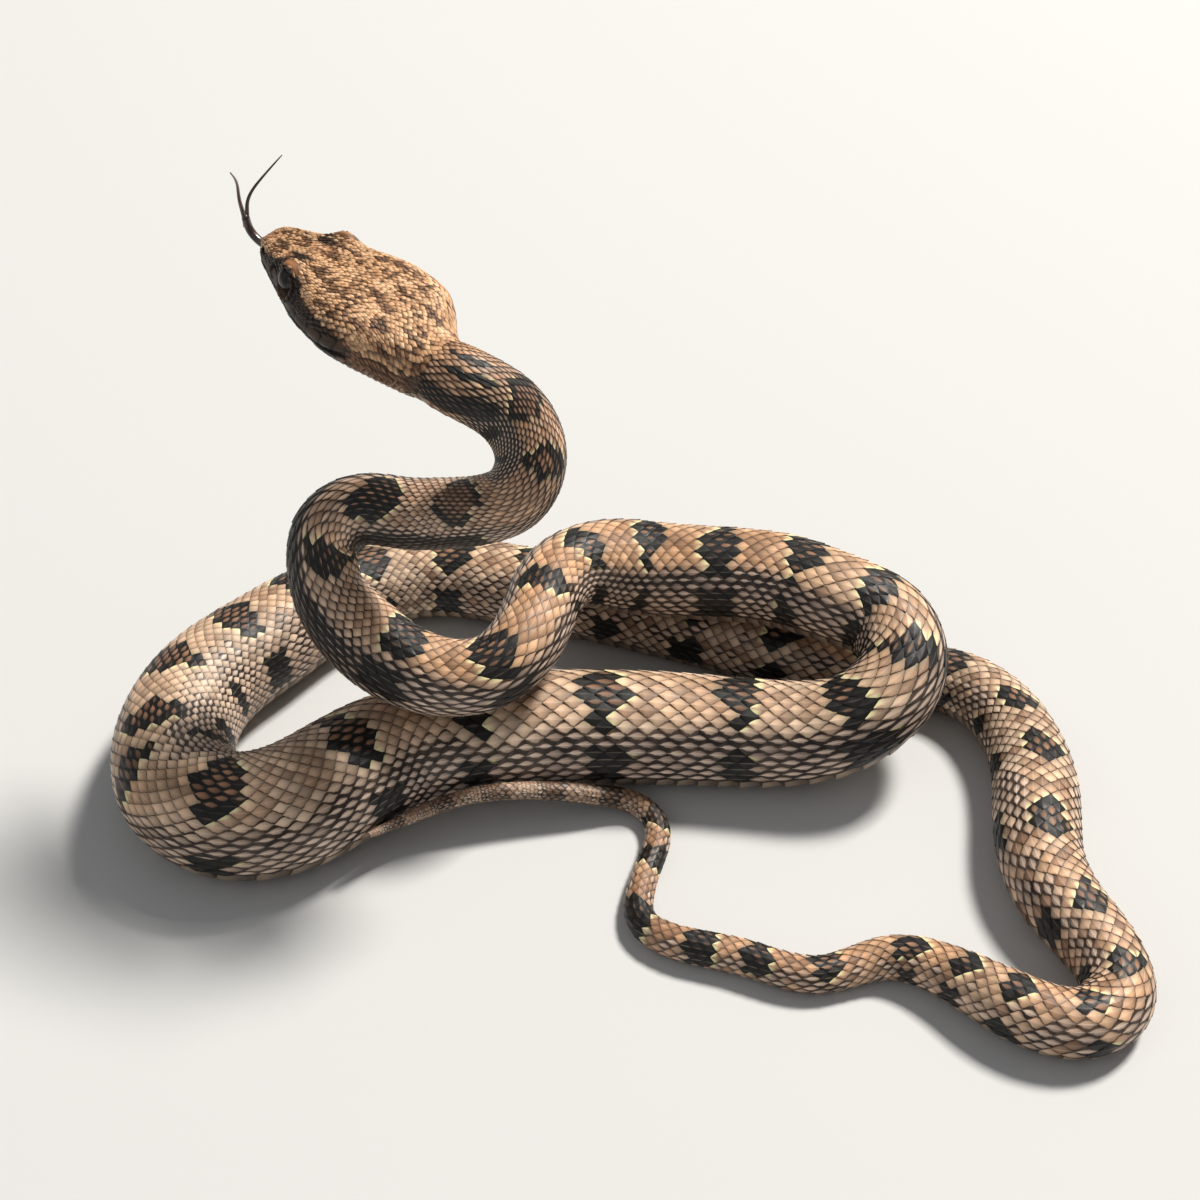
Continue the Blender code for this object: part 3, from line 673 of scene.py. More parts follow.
class Markings:
    """Where each marking lies, as shares from 0 to 1 over S and the arc."""

    def __init__(self, coat: Coat) -> None:
        """Keeps the coat and reads the table of blotches."""
        self.coat = coat
        self.form = coat.form
        self.middle, self.half = np.array(BLOTCHES).T

    def body(self, at: Array, degrees: Array, point: Array) -> list[Array]:
        """Blotch, heart, room for the cream line, flank, belly and warmth on the body; painted shade on
        the sides of the neck's lower bend is laid into the blotch and the heart.

        Args:
            at: S of each place.
            degrees: angle of each place from the back line, positive to the right.
            point: the places themselves.

        Returns:
            The six shares.
        """
        belly = ease(np.abs(degrees) - 14.0 * ease(at, 545.0, 560.0), 103.0, 109.0)
        spot = BodyPlaces(at, degrees - through(PATTERN_TURN, at)[..., 0], point, CLOUD.read(point),
                          fade(at, 62.0, 104.0), fade(at, 270.0, 325.0))
        blotch, heart, line, lateral, away = self._blotches(spot)
        flank, dim = self._flank(spot)
        band, painted_bend_shade = self._neck_bands(spot)
        blotch = blotch * (1.0 - 0.65 * np.minimum(heart, 1.0) * ease(at, 540.0, 548.0))
        # painted shade on the neck's lower bend goes in as black blotch, and partly as brown heart below
        blotch = np.maximum.reduce([blotch, dim, painted_bend_shade, band])
        umber = 0.22 * self._umber(spot, away) * (1.0 - blotch) * (1.0 - 0.6 * flank)
        brown = 0.3 + 0.2 * ease(at, 570.0, 576.0) + 0.15 * spot.cloud
        heart = np.maximum.reduce([heart * (1.0 - lateral), umber, brown * np.maximum(band, painted_bend_shade)])
        warm = 0.35 + 0.5 * ease(at, 395.0, 440.0) + 0.6 * fade(at, 80.0, 170.0)
        warm += 0.25 * spot.cloud - 0.25 * ease(spot.angle, 20.0, 50.0)
        warm += 0.4 * ease(at, 545.0, 560.0)
        tip = fade(at, 28.0, 50.0)
        return [blotch * (1.0 - 0.55 * tip), heart, line * (1.0 - tip), flank,
                np.maximum(belly, 0.8 * tip), warm.clip(0.0, 1.0)]

    def _blotches(self, spot: BodyPlaces) -> tuple[Array, ...]:
        """The blotches of the back and of the flank.

        A blotch is as long as its half length times a profile that falls from the back line to the
        foot of the triangle; on the tail it is a band.  Its heart lies inside it near the back line,
        and a thin cream line can run along its sides.  Under each there is a blotch of the flank.

        Args:
            spot: the places.

        Returns:
            Blotch, heart, room for the cream line, blotch of the flank, and the distance from the
            nearest blotch's middle over its half length.
        """
        at, angle, on_tail = spot.at, spot.angle, spot.on_tail
        shift = 0.54 * np.sign(spot.degrees) * ease(angle, 4.0, 20.0) * np.sin(at * 0.9)
        nearest = np.abs((at + shift)[..., None] - self.middle).argmin(axis=-1)
        away = np.abs(self.middle[nearest] - at - shift)
        half = self.half[nearest]
        scale = self.coat.pitch(at)
        wave = 0.22 * scale * BLOTCH_WAVE.read(spot.point)
        foot = through(PATTERN_FOOT, at)[..., 0]
        triangle = 1.06 - 0.76 * np.clip((angle - 4.0) / (foot - 4.0), 0.0, 1.0)
        band = 1.02 - 0.1 * ease(angle, 10.0, 60.0)
        inside = half * (triangle * (1.0 - on_tail) + band * on_tail) - away + wave
        depth = np.minimum(inside, (foot - angle) * 0.12)
        ring = (0.2 + 0.3 * ease(at, 545.0, 555.0)) * scale
        heart = ease(depth, ring, ring + 0.5 * scale) * (0.95 - 0.35 * ease(angle, 8.0, 36.0))
        heart *= 1.0 - 0.5 * on_tail - 0.36 * plateau(at, 380.0, 400.0, 538.0, 546.0)
        heart *= 1.0 + 0.3 * HEART_GRAIN.read(spot.point)
        lateral = np.minimum(half * 0.66 - away + wave, (22.0 - np.abs(angle - 90.0)) * 0.1)
        lateral = ease(lateral, -0.05, 0.05) * (1.0 - on_tail)
        line = ease(angle, 7.0, 11.0) * fade(angle, foot + 3.0, foot + 8.0)
        line = np.maximum(line, ease(bell(angle - 73.0, 8.0), 0.5, 0.7) * (1.0 - on_tail))
        return np.maximum(ease(depth, -0.05, 0.05), lateral), heart, line, lateral, away / half

    def _flank(self, spot: BodyPlaces) -> tuple[Array, Array]:
        """How far the scales are the flank's, and how dark its upper edge and the neck's side are.

        Args:
            spot: the places.

        Returns:
            Both shares.
        """
        at, angle, cloud = spot.at, spot.angle, spot.cloud
        flank = ease(angle + 12.0 * cloud, 34.0, 62.0) * through(FLANK_SHARE, at)[..., 0]
        flank *= 1.0 - 0.75 * ease(at, 568.0, 574.0)
        dim = 0.3 * bell(angle + 6.0 * cloud - 54.0, 9.0) * flank
        neck_side = plateau(at, 552.0, 562.0, 570.0, 574.5) * ease(angle + 6.0 * cloud, 34.0, 46.0)
        neck = (0.4 + 0.25 * NECK_MOTTLE.read(spot.point)) * plateau(at, 505.0, 520.0, 571.0, 575.0)
        mottle = ease(FLANK_MOTTLE.read(spot.point) + 0.4 * cloud, -0.25, 0.35)
        mottle *= 0.85 * ease(angle, 22.0, 45.0) * fade(at, 310.0, 335.0)
        return np.maximum.reduce([flank, neck_side, neck, mottle]), np.maximum(dim, 0.25 * neck_side)

    def _neck_bands(self, spot: BodyPlaces) -> tuple[Array, Array]:
        """The dark bands along the neck behind the jaw, and painted shade on the sides of its lower bend.

        Args:
            spot: the places.

        Returns:
            Both shares.
        """
        at, cloud = spot.at, spot.cloud
        left = bell(spot.degrees + 58.0 + 7.0 * (at - 570.0).clip(0.0, 3.4), 25.0)
        band = np.maximum(left, bell(spot.degrees - 78.0, 22.0)) * ease(at + cloud, 566.5, 570.5)
        # painted shade on both sides of the neck's lower bend
        painted_bend_shade = 0.8 * plateau(at, 500.0, 515.0, 545.0, 553.0)
        return ease(band, 0.4, 0.75), painted_bend_shade * ease(spot.angle + 8.0 * cloud, 54.0, 66.0)

    def _umber(self, spot: BodyPlaces, away: Array) -> Array:
        """Brown clouds on the tan: between blotches, on the crest, and in flecks of several sizes.

        Args:
            spot: the places.
            away: distance from the nearest blotch's middle over its half length.

        Returns:
            How strong they are.
        """
        at, angle, point, cloud, rear = spot.at, spot.angle, spot.point, spot.cloud, spot.rear
        low = ease(angle, 22.0, 45.0)
        between = 0.7 * bell(away - 2.04, 0.55) * fade(angle, 8.0, 32.0)
        broad = 0.8 * ease(BROAD_UMBER.read(point) + 0.3 * rear, 0.15, 0.9)
        return np.maximum.reduce([
            np.maximum(between, broad) * (1.0 - 0.6 * rear),
            (0.42 + 0.9 * REAR_UMBER.read(point)).clip(0.0, 1.0) * rear * (1.0 - 0.6 * low),
            1.1 * ease(REAR_SPECKLE.read(point), 0.0, 0.6) * rear * low,
            0.7 * ease(FRONT_SPECKLE.read(point), 0.1, 0.8) * (1.0 - rear),
            0.9 * ease(NECK_UMBER.read(point), -0.3, 0.8) * ease(at, 500.0, 545.0),
            (0.5 + 0.3 * cloud) * fade(angle, 6.0, 36.0) * ease(at, 330.0, 400.0),
            (0.75 + 0.3 * cloud) * spot.on_tail])

    def head(self, point: Array) -> list[Array]:
        """The same six shares on the head: mottled crown, dark cheek, rusty lips and pale throat.

        Args:
            point: the places.

        Returns:
            The six shares.
        """
        behind, out, height = self.form.head.measure(point)
        marks = np.zeros(behind.shape)
        for back, side, length, width in CROWN_MARKS:
            spot = np.hypot((behind - back) / length, (out - side) / width)
            marks = np.maximum(marks, fade(spot, 0.55, 1.25))
        fine, broad = HEAD_FINE.read(point), HEAD_BROAD.read(point)
        crown = ease(0.62 * marks + 0.6 * fine + 0.5 * broad, 0.05, 1.05)
        cheek = ease(through(CHEEK_TOP, behind)[..., 0] - height + 0.15 * fine, -0.1, 0.1)
        cheek *= ease(np.abs(out), 1.2, 2.0)
        lip = cheek * ease(self.form.head.mouth(behind) + 1.2 - height, 0.0, 0.5)
        rim = bell(away_from(EYE_SPOT, behind, height) - 1.6, 0.2)
        corner = cheek * plateau(behind, 19.5, 24.0, 27.5, 30.0)
        throat = ease(-2.0 - height + 0.3 * fine, 0.0, 0.8)
        blotch = np.maximum(0.58 * crown * (1.0 - cheek), cheek * (1.0 - 0.7 * corner))
        heart = (0.05 + 0.1 * fine + 0.06 * broad).clip(0.0, 0.25) * (1.0 - crown) + 0.38 * crown
        rust = 0.32 + 0.03 * fine + 0.04 * lip + 0.08 * rim + 0.2 * corner
        heart = heart * (1.0 - cheek) + cheek * rust
        warm = (0.6 + 0.35 * fine + 0.25 * broad).clip(0.0, 1.0)
        skin = 1.0 - throat
        return [blotch * skin, heart * skin, 0.0 * throat, 0.5 * lip * skin, throat, warm]

    def read(self, at: Array, arc: Array) -> tuple[Array, Array]:
        """Two vectors for each place: (blotch, heart, room for cream) and (flank, belly, warmth).

        Args:
            at: S of each place.
            arc: arc of each place.

        Returns:
            Both vectors.
        """
        at, arc = np.broadcast_arrays(np.asarray(at, float), np.asarray(arc, float))
        point = self.form.read(at, arc)[0]
        degrees = 180.0 * ((arc / self.form.arc_limit(at) + 1.0) % 2.0 - 1.0)
        share = ease(at, self.form.length - 1.0, self.form.length + 1.5)
        both = [on_body * (1.0 - share) + on_head * share
                for on_body, on_head in zip(self.body(at, degrees, point), self.head(point))]
        stripe = self._nape_stripes(at, degrees)
        both[0] = np.maximum(both[0], stripe)
        both[1] = both[1] * (1.0 - stripe)
        return np.stack(both[:3], axis=-1), np.stack(both[3:], axis=-1)

    @staticmethod
    def _nape_stripes(at: Array, degrees: Array) -> Array:
        """Two short dark stripes that run obliquely over the nape."""
        turned = degrees + 4.8 * (at - 572.6)
        left = bell(turned + 20.0, 8.0) * bell(at - 572.8, 2.7)
        right = bell(turned - 9.0, 8.0) * bell(at - 573.2, 2.4)
        return ease(np.maximum(left, right), 0.4, 0.55)

    def cream(self, at: Array, arc: Array, across: Array, along: Array) -> Array:
        """How cream each point of each scale is.

        A scale has two neighbours ahead and two behind, half a pitch and one column away.  The quarter
        of a light scale that faces a dark neighbour is cream, where there is room for the line.

        Args:
            at: S of each scale.
            arc: arc of each scale.
            across: place of each point across its scale, positive to the right.
            along: place of each point along its scale.

        Returns:
            Shares of cream, as (scales, points).
        """
        own = self.read(at, arc)[0]
        room = own[:, 2] * fade(own[:, 0], 0.1, 0.4) * (at < self.form.length - 4.0)
        share = np.zeros(across.shape)
        for ahead, part in ((-1.0, ease(along, 0.6, 0.8)), (1.0, fade(along, 0.36, 0.56))):
            for side in (-1.0, 1.0):
                dark = self.read(at + 0.5 * ahead * self.coat.pitch(at),
                                 arc + side * self.coat.column(at))[0][:, 0]
                facing = (room * ease(dark, 0.5, 0.9))[:, None]
                share = np.maximum(share, facing * part * ease(side * across, 0.05, 0.4))
        return share


@dataclass(frozen=True)
class Pattern:
    """A thin closed plate over a grid: its top, two walls along the sides, two at the ends, a floor.

    across runs from -1 to 1 and along from 0 at the root to 1 at the free tip.
    """

    across: tuple[float, ...]
    along: tuple[float, ...]

    def grid(self) -> tuple[Array, Array]:
        """The across and along value of each point of the top, as (rows, columns)."""
        return tuple(np.meshgrid(self.across, self.along, indexing="xy"))

    def faces(self) -> tuple[list[list[int]], list[list[tuple[float, float]]]]:
        """Corner numbers of the faces, and where each corner lies on the plate's own patch.

        The floor has two corners for each row, numbered after the top's points.
        """
        columns, rows = len(self.across), len(self.along)
        top = columns * rows
        side_to_side = [0.02 + 0.35 * (value + 1.0) for value in self.across]
        faces, spots = [], []
        for j in range(rows - 1):
            low, high = (0.1 + 0.8 * value for value in self.along[j:j + 2])
            for i in range(columns - 1):
                near, far = j * columns + i, (j + 1) * columns + i
                left, right = side_to_side[i:i + 2]
                faces.append([near, far, far + 1, near + 1])
                spots.append([(left, low), (left, high), (right, high), (right, low)])
            left, right = j * columns, (j + 1) * columns - 1
            floor = top + 2 * j
            faces.append([left, floor, floor + 2, left + columns])
            spots.append([(0.75, low), (0.79, low), (0.79, high), (0.75, high)])
            faces.append([right, right + columns, floor + 3, floor + 1])
            spots.append([(0.81, low), (0.81, high), (0.85, high), (0.85, low)])
            faces.append([floor, floor + 1, floor + 3, floor + 2])
            spots.append([(0.87, low), (0.98, low), (0.98, high), (0.87, high)])
        faces.append([*range(columns), top + 1, top])
        spots.append([(x, 0.08) for x in side_to_side] + [(0.72, 0.02), (0.02, 0.02)])
        last = columns * (rows - 1)
        floor = top + 2 * (rows - 1)
        faces.append([last + i for i in reversed(range(columns))] + [floor, floor + 1])
        spots.append([(x, 0.92) for x in reversed(side_to_side)] + [(0.02, 0.98), (0.72, 0.98)])
        return faces, spots


KEELED_GRID = Pattern((-1.0, -0.55, -0.16, 0.0, 0.16, 0.55, 1.0), (0.0, 0.3, 0.52, 0.74, 0.9, 1.0))
SMALL_GRID = Pattern((-1.0, -0.5, 0.0, 0.5, 1.0), (0.0, 0.4, 0.65, 0.85, 1.0))
BAND_GRID = Pattern(tuple(np.linspace(-1.0, 1.0, 13)), (0.0, 0.35, 0.7, 0.9, 1.0))
SHIELD_GRID = Pattern(tuple(np.linspace(-1.0, 1.0, 9)), (0.0, 0.12, 0.35, 0.65, 0.88, 1.0))


def add_mesh(name: str, places: Array, corners: Array, sizes: Array) -> Mesh:
    """A smooth-shaded mesh.

    Args:
        name: the mesh's name.
        places: points, in millimetres.
        corners: point numbers of all faces, one face after another.
        sizes: how many corners each face has.

    Returns:
        The mesh, in metres.
    """
    mesh = bpy.data.meshes.new(name)
    mesh.vertices.add(len(places))
    mesh.vertices.foreach_set("co", (places * MM).astype(np.float32).ravel())
    mesh.loops.add(len(corners))
    mesh.loops.foreach_set("vertex_index", corners.astype(np.int32))
    mesh.polygons.add(len(sizes))
    mesh.polygons.foreach_set("loop_start", np.r_[0, sizes.cumsum()[:-1]].astype(np.int32))
    mesh.update(calc_edges=True)
    mesh.shade_smooth()
    return mesh


def joined(blocks: list[Array]) -> tuple[Array, Array]:
    """Face corners and face sizes of several blocks of faces, each of (faces, corners)."""
    return (np.concatenate([block.ravel() for block in blocks]),
            np.concatenate([np.full(len(block), block.shape[1]) for block in blocks]))


def ring_faces(rings: int, around: int) -> list[Array]:
    """Faces of a closed tube of rings of points, with a point at each end.

    Point i of ring j has the number j * around + i.  The point that closes the first ring comes after
    all rings, and the one that closes the last ring comes next.

    Args:
        rings: number of rings.
        around: points on each ring.

    Returns:
        A block of quads and a block of triangles.
    """
    j, i = np.meshgrid(np.arange(rings - 1), np.arange(around), indexing="ij")
    after = (i + 1) % around
    quads = np.stack([j * around + i, (j + 1) * around + i, (j + 1) * around + after, j * around + after],
                     axis=2).reshape(-1, 4)
    i = np.arange(around)
    after, end = (i + 1) % around, rings * around
    last = end - around
    fans = np.vstack([np.column_stack([np.full(around, end), i, after]),
                      np.column_stack([np.full(around, end + 1), last + after, last + i])])
    return [quads, fans]


def add_vectors(mesh: Mesh, name: str, values: Array) -> None:
    """Puts one vector for each point into a named attribute."""
    layer = mesh.attributes.new(name, "FLOAT_VECTOR", "POINT")
    layer.data.foreach_set("vector", np.asarray(values, np.float32).ravel())


def add_map(mesh: Mesh, spots: Array) -> None:
    """Puts one place for each face corner into the bake map."""
    layer = mesh.uv_layers.new(name=BAKE_MAP)
    layer.data.foreach_set("uv", np.asarray(spots, np.float32).ravel())


def add_piece(mesh: Mesh, finish: Material) -> bpy.types.Object:
    """Puts a mesh into the scene as a piece that rides on the body.

    Args:
        mesh: the piece's mesh.
        finish: its only material.

    Returns:
        The piece.
    """
    mesh.materials.append(finish)
    piece = bpy.data.objects.new(mesh.name, mesh)
    bpy.context.scene.collection.objects.link(piece)
    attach(piece, "root")
    LOG.info("%s: %d faces", piece.name, len(mesh.polygons))
    return piece


@dataclass
class Plates:
    """Many plates of one pattern: where their points lie and what each is marked with.

    at, arc and top are (plates, rows, columns): S, arc and height over the skin of each point.  root
    holds S and arc of each plate's own place, which sets its marks and its patch on the bake map.
    floor is the underside's height.
    """

    pattern: Pattern
    at: Array
    arc: Array
    top: Array
    root: tuple[Array, Array]
    floor: float = -0.02
    patch: float = 0.004
    sharp_from: float = 48.0      # degrees between two faces from which their edge is sharp

    def turn_out(self, coat: Coat) -> None:
        """Mirrors each plate whose faces would point inwards.

        Args:
            coat: the coat's sizes.
        """
        place = coat.place(self.at, self.arc, self.top)
        row, column = place.shape[1] // 2, place.shape[2] // 2
        across = place[:, row, column + 1] - place[:, row, column - 1]
        along = place[:, row + 1, column] - place[:, row - 1, column]
        _, normal = coat.form.read(self.at[:, row, column], self.arc[:, row, column])
        inward = np.einsum("nk,nk->n", np.cross(along, across), normal) < 0.0
        for values in (self.at, self.arc, self.top):
            values[inward] = values[inward][:, :, ::-1]

    def build(self, name: str, coat: Coat, markings: Markings, draw: Generator) -> Mesh:
        """Joins the plates into one mesh with their marks and bake map.

        Args:
            name: the piece's name.
            coat: the coat's sizes.
            markings: the animal's markings, read at each plate's root.
            draw: source of each plate's own tone.

        Returns:
            The mesh.
        """
        self.turn_out(coat)
        count, rows = self.at.shape[:2]
        top = coat.place(self.at, self.arc, self.top)
        ends = np.s_[:, :, [0, -1]]
        floor = coat.place(self.at[ends], self.arc[ends], np.full((count, rows, 2), self.floor))
        places = np.concatenate([top.reshape(count, -1, 3), floor.reshape(count, -1, 3)], axis=1)
        faces, spots = self.pattern.faces()
        corners = np.concatenate([np.array(face) for face in faces])
        corners = (corners[None] + places.shape[1] * np.arange(count)[:, None]).ravel()
        sizes = np.tile([len(face) for face in faces], count)
        mesh = add_mesh(name, places.reshape(-1, 3), corners, sizes)
        mesh.set_sharp_from_angle(angle=math.radians(self.sharp_from))
        self._mark(mesh, markings, draw)
        spot = np.concatenate([np.array(face) for face in spots])
        at, arc = self.root
        along = (at - at.min()) / max(float(np.ptp(at)), 1.0) * 0.98 + 0.005
        round_about = (arc / coat.form.arc_limit(at) + 1.0) / 2.0 * 0.98 + 0.005
        corner = np.column_stack([along, round_about % 0.99])
        add_map(mesh, (corner[:, None] + spot[None] * self.patch).reshape(-1, 2))
        return mesh

    def _mark(self, mesh: Mesh, markings: Markings, draw: Generator) -> None:
        """Gives every point its plate's marks, its place on the plate, and the plate's tone.

        Args:
            mesh: the plates' mesh.
            markings: the animal's markings, read at each plate's root.
            draw: source of each plate's own tone.
        """
        count = len(self.at)
        across, along = self.pattern.grid()
        across = np.r_[across.ravel(), np.tile((-1.0, 1.0), len(self.pattern.along))]
        along = np.r_[along.ravel(), np.repeat(self.pattern.along, 2)]
        marks, zone = (np.repeat(values[:, None], len(across), axis=1)
                       for values in markings.read(*self.root))
        to_right = np.sign(self.arc[:, 1, -1] - self.arc[:, 1, 0])[:, None]
        marks[..., 2] = markings.cream(*self.root, to_right * across, np.tile(along, (count, 1)))
        add_vectors(mesh, "marks", marks)
        add_vectors(mesh, "zone", zone)
        tone = np.repeat(draw.uniform(0.0, 1.0, count), len(across))
        add_vectors(mesh, "cell", np.column_stack([np.tile(across, count), np.tile(along, count), tone]))


def linear(red: int, green: int, blue: int) -> Colour:
    """A display colour of 8-bit parts as a linear colour: ((c + 0.055) / 1.055) ** 2.4, or c / 12.92."""
    parts = [value / 255.0 for value in (red, green, blue)]
    return (*(((c + 0.055) / 1.055) ** 2.4 if c > 0.04045 else c / 12.92 for c in parts), 1.0)


class Pen:
    """Short calls for laying out a node tree."""

    def __init__(self, tree: bpy.types.NodeTree) -> None:
        """Keeps the tree."""
        self.tree = tree

    def add(self, kind: str, inputs: dict | None = None, **settings: object) -> bpy.types.Node:
        """A node with its settings, and its inputs fed by number or name."""
        node = self.tree.nodes.new(kind)
        for name, value in settings.items():
            setattr(node, name, value)
        for name, value in (inputs or {}).items():
            self.feed(node.inputs[name], value)
        return node

    def feed(self, socket: Socket, value: object) -> None:
        """Links a socket into an input, or sets the input's own value."""
        if isinstance(value, Socket):
            self.tree.links.new(value, socket)
        else:
            socket.default_value = value

    def math(self, operation: str, first: object, second: object = 0.0) -> Socket:
        """One sum of two values."""
        return self.add("ShaderNodeMath", {0: first, 1: second}, operation=operation).outputs[0]

    def times(self, first: object, *others: object) -> Socket:
        """Product of several values."""
        for other in others:
            first = self.math("MULTIPLY", first, other)
        return first

    def plus(self, first: object, *others: object) -> Socket:
        """Sum of several values."""
        for other in others:
            first = self.math("ADD", first, other)
        return first

    def minus(self, first: object, second: object) -> Socket:
        """First value less the second."""
        return self.math("SUBTRACT", first, second)

    def mix(self, share: object, first: object, second: object, blend: str = "MIX") -> Socket:
        """Two colours mixed by a share, from 0 for the first to 1 for the second."""
        node = self.add("ShaderNodeMix", data_type="RGBA", blend_type=blend)
        for name, value in (("Factor_Float", share), ("A_Color", first), ("B_Color", second)):
            self.feed(next(socket for socket in node.inputs if socket.identifier == name), value)
        return next(socket for socket in node.outputs if socket.identifier == "Result_Color")

    def darken(self, colour: object, light: object) -> Socket:
        """A colour times one value in all three parts."""
        grey = self.add("ShaderNodeCombineColor", {0: light, 1: light, 2: light}).outputs[0]
        return self.mix(1.0, colour, grey, "MULTIPLY")

    def ease(self, value: object, low: object, high: object, start: float = 0.0,
             end: object = 1.0) -> Socket:
        """Eased step from start to end as a value goes from low to high."""
        return self.add("ShaderNodeMapRange", {0: value, 1: low, 2: high, 3: start, 4: end},
                        interpolation_type="SMOOTHSTEP").outputs[0]

    def noise(self, place: object, scale: float, detail: float = 3.0) -> Socket:
        """Noise from 0 to 1 at a place."""
        inputs = {"Vector": place, "Scale": scale, "Detail": detail}
        return self.add("ShaderNodeTexNoise", inputs).outputs[0]

    def split(self, vector: object) -> list[Socket]:
        """The three parts of a vector."""
        return list(self.add("ShaderNodeSeparateXYZ", {0: vector}).outputs)

    def attribute(self, name: str) -> Socket:
        """A vector that the mesh keeps for each point."""
        return self.add("ShaderNodeAttribute", attribute_name=name).outputs["Vector"]

    def object_place(self) -> Socket:
        """The place in the object's own axes."""
        return self.add("ShaderNodeTexCoord").outputs["Object"]

    def bump(self, shader: bpy.types.Node, height: object, strength: float, distance: float) -> None:
        """Gives a shader fine relief from a height."""
        node = self.add("ShaderNodeBump", {"Strength": strength, "Distance": distance, "Height": height})
        self.feed(shader.inputs["Normal"], node.outputs[0])

    def group(self, tree: bpy.types.NodeTree, **inputs: object) -> bpy.types.Node:
        """A node group with its inputs fed by name."""
        return self.add("ShaderNodeGroup", {k.capitalize(): v for k, v in inputs.items()}, node_tree=tree)


def new_finish(name: str, roughness: float,
               **constants: object) -> tuple[Pen, bpy.types.Node, Material]:
    """A material with one Principled shader, with its constant inputs set on the shader itself.

    Args:
        name: the material's name.
        roughness: the shader's roughness.
        constants: other inputs, named with low lines for spaces.

    Returns:
        A pen for its node tree, its shader, and the material.
    """
    finish = bpy.data.materials.new(name)
    finish.use_nodes = True
    shader = finish.node_tree.nodes["Principled BSDF"]
    shader.inputs["Roughness"].default_value = roughness
    for label, value in constants.items():
        shader.inputs[label.replace("_", " ")].default_value = value
    return Pen(finish.node_tree), shader, finish


@dataclass(frozen=True)
class Palette:
    """Colours of the viper's markings, with the painted keel highlight and the painted shade of the
    recesses.
    """

    tan: Colour = linear(232, 203, 174)
    orange: Colour = linear(222, 169, 124)
    brown: Colour = linear(144, 106, 80)
    black: Colour = linear(27, 25, 23)
    cream: Colour = linear(255, 247, 190)
    cream_edge: Colour = linear(150, 130, 84)
    flank: Colour = linear(50, 40, 35)
    flank_middle: Colour = linear(208, 182, 164)
    belly: Colour = linear(178, 158, 138)
    belly_edge: Colour = linear(80, 68, 58)
    outline: Colour = linear(74, 50, 35)
    # painted highlight along the keel ridges
    keel: Colour = linear(236, 218, 200)
    # painted shade for the eye sockets, heat pits, nostrils and mouth line
    socket: Colour = linear(12, 10, 9)


@dataclass(frozen=True)
class ScaleLook:
    """How one kind of scale looks: the strength of its painted keel highlight, its edge's push outwards
    and fading (fading also lightens the painted shade at its root), its tint.
    """

    name: str
    keel: float = 1.0
    pushed_out: float = 0.0
    tint: Colour = (1.0, 1.0, 1.0, 1.0)
    fading: float = 0.0


BODY_LOOK = ScaleLook("viper_scales")
HEAD_LOOK = ScaleLook("viper_head_scales", 0.6, 0.0, (1.0, 0.91, 0.77, 1.0), 0.4)
BROW_LOOK = ScaleLook("viper_brow_shields", 0.0, 0.6, (0.84, 0.62, 0.42, 1.0))
SHIELD_LOOK = ScaleLook("viper_shields", 0.0, 0.6)


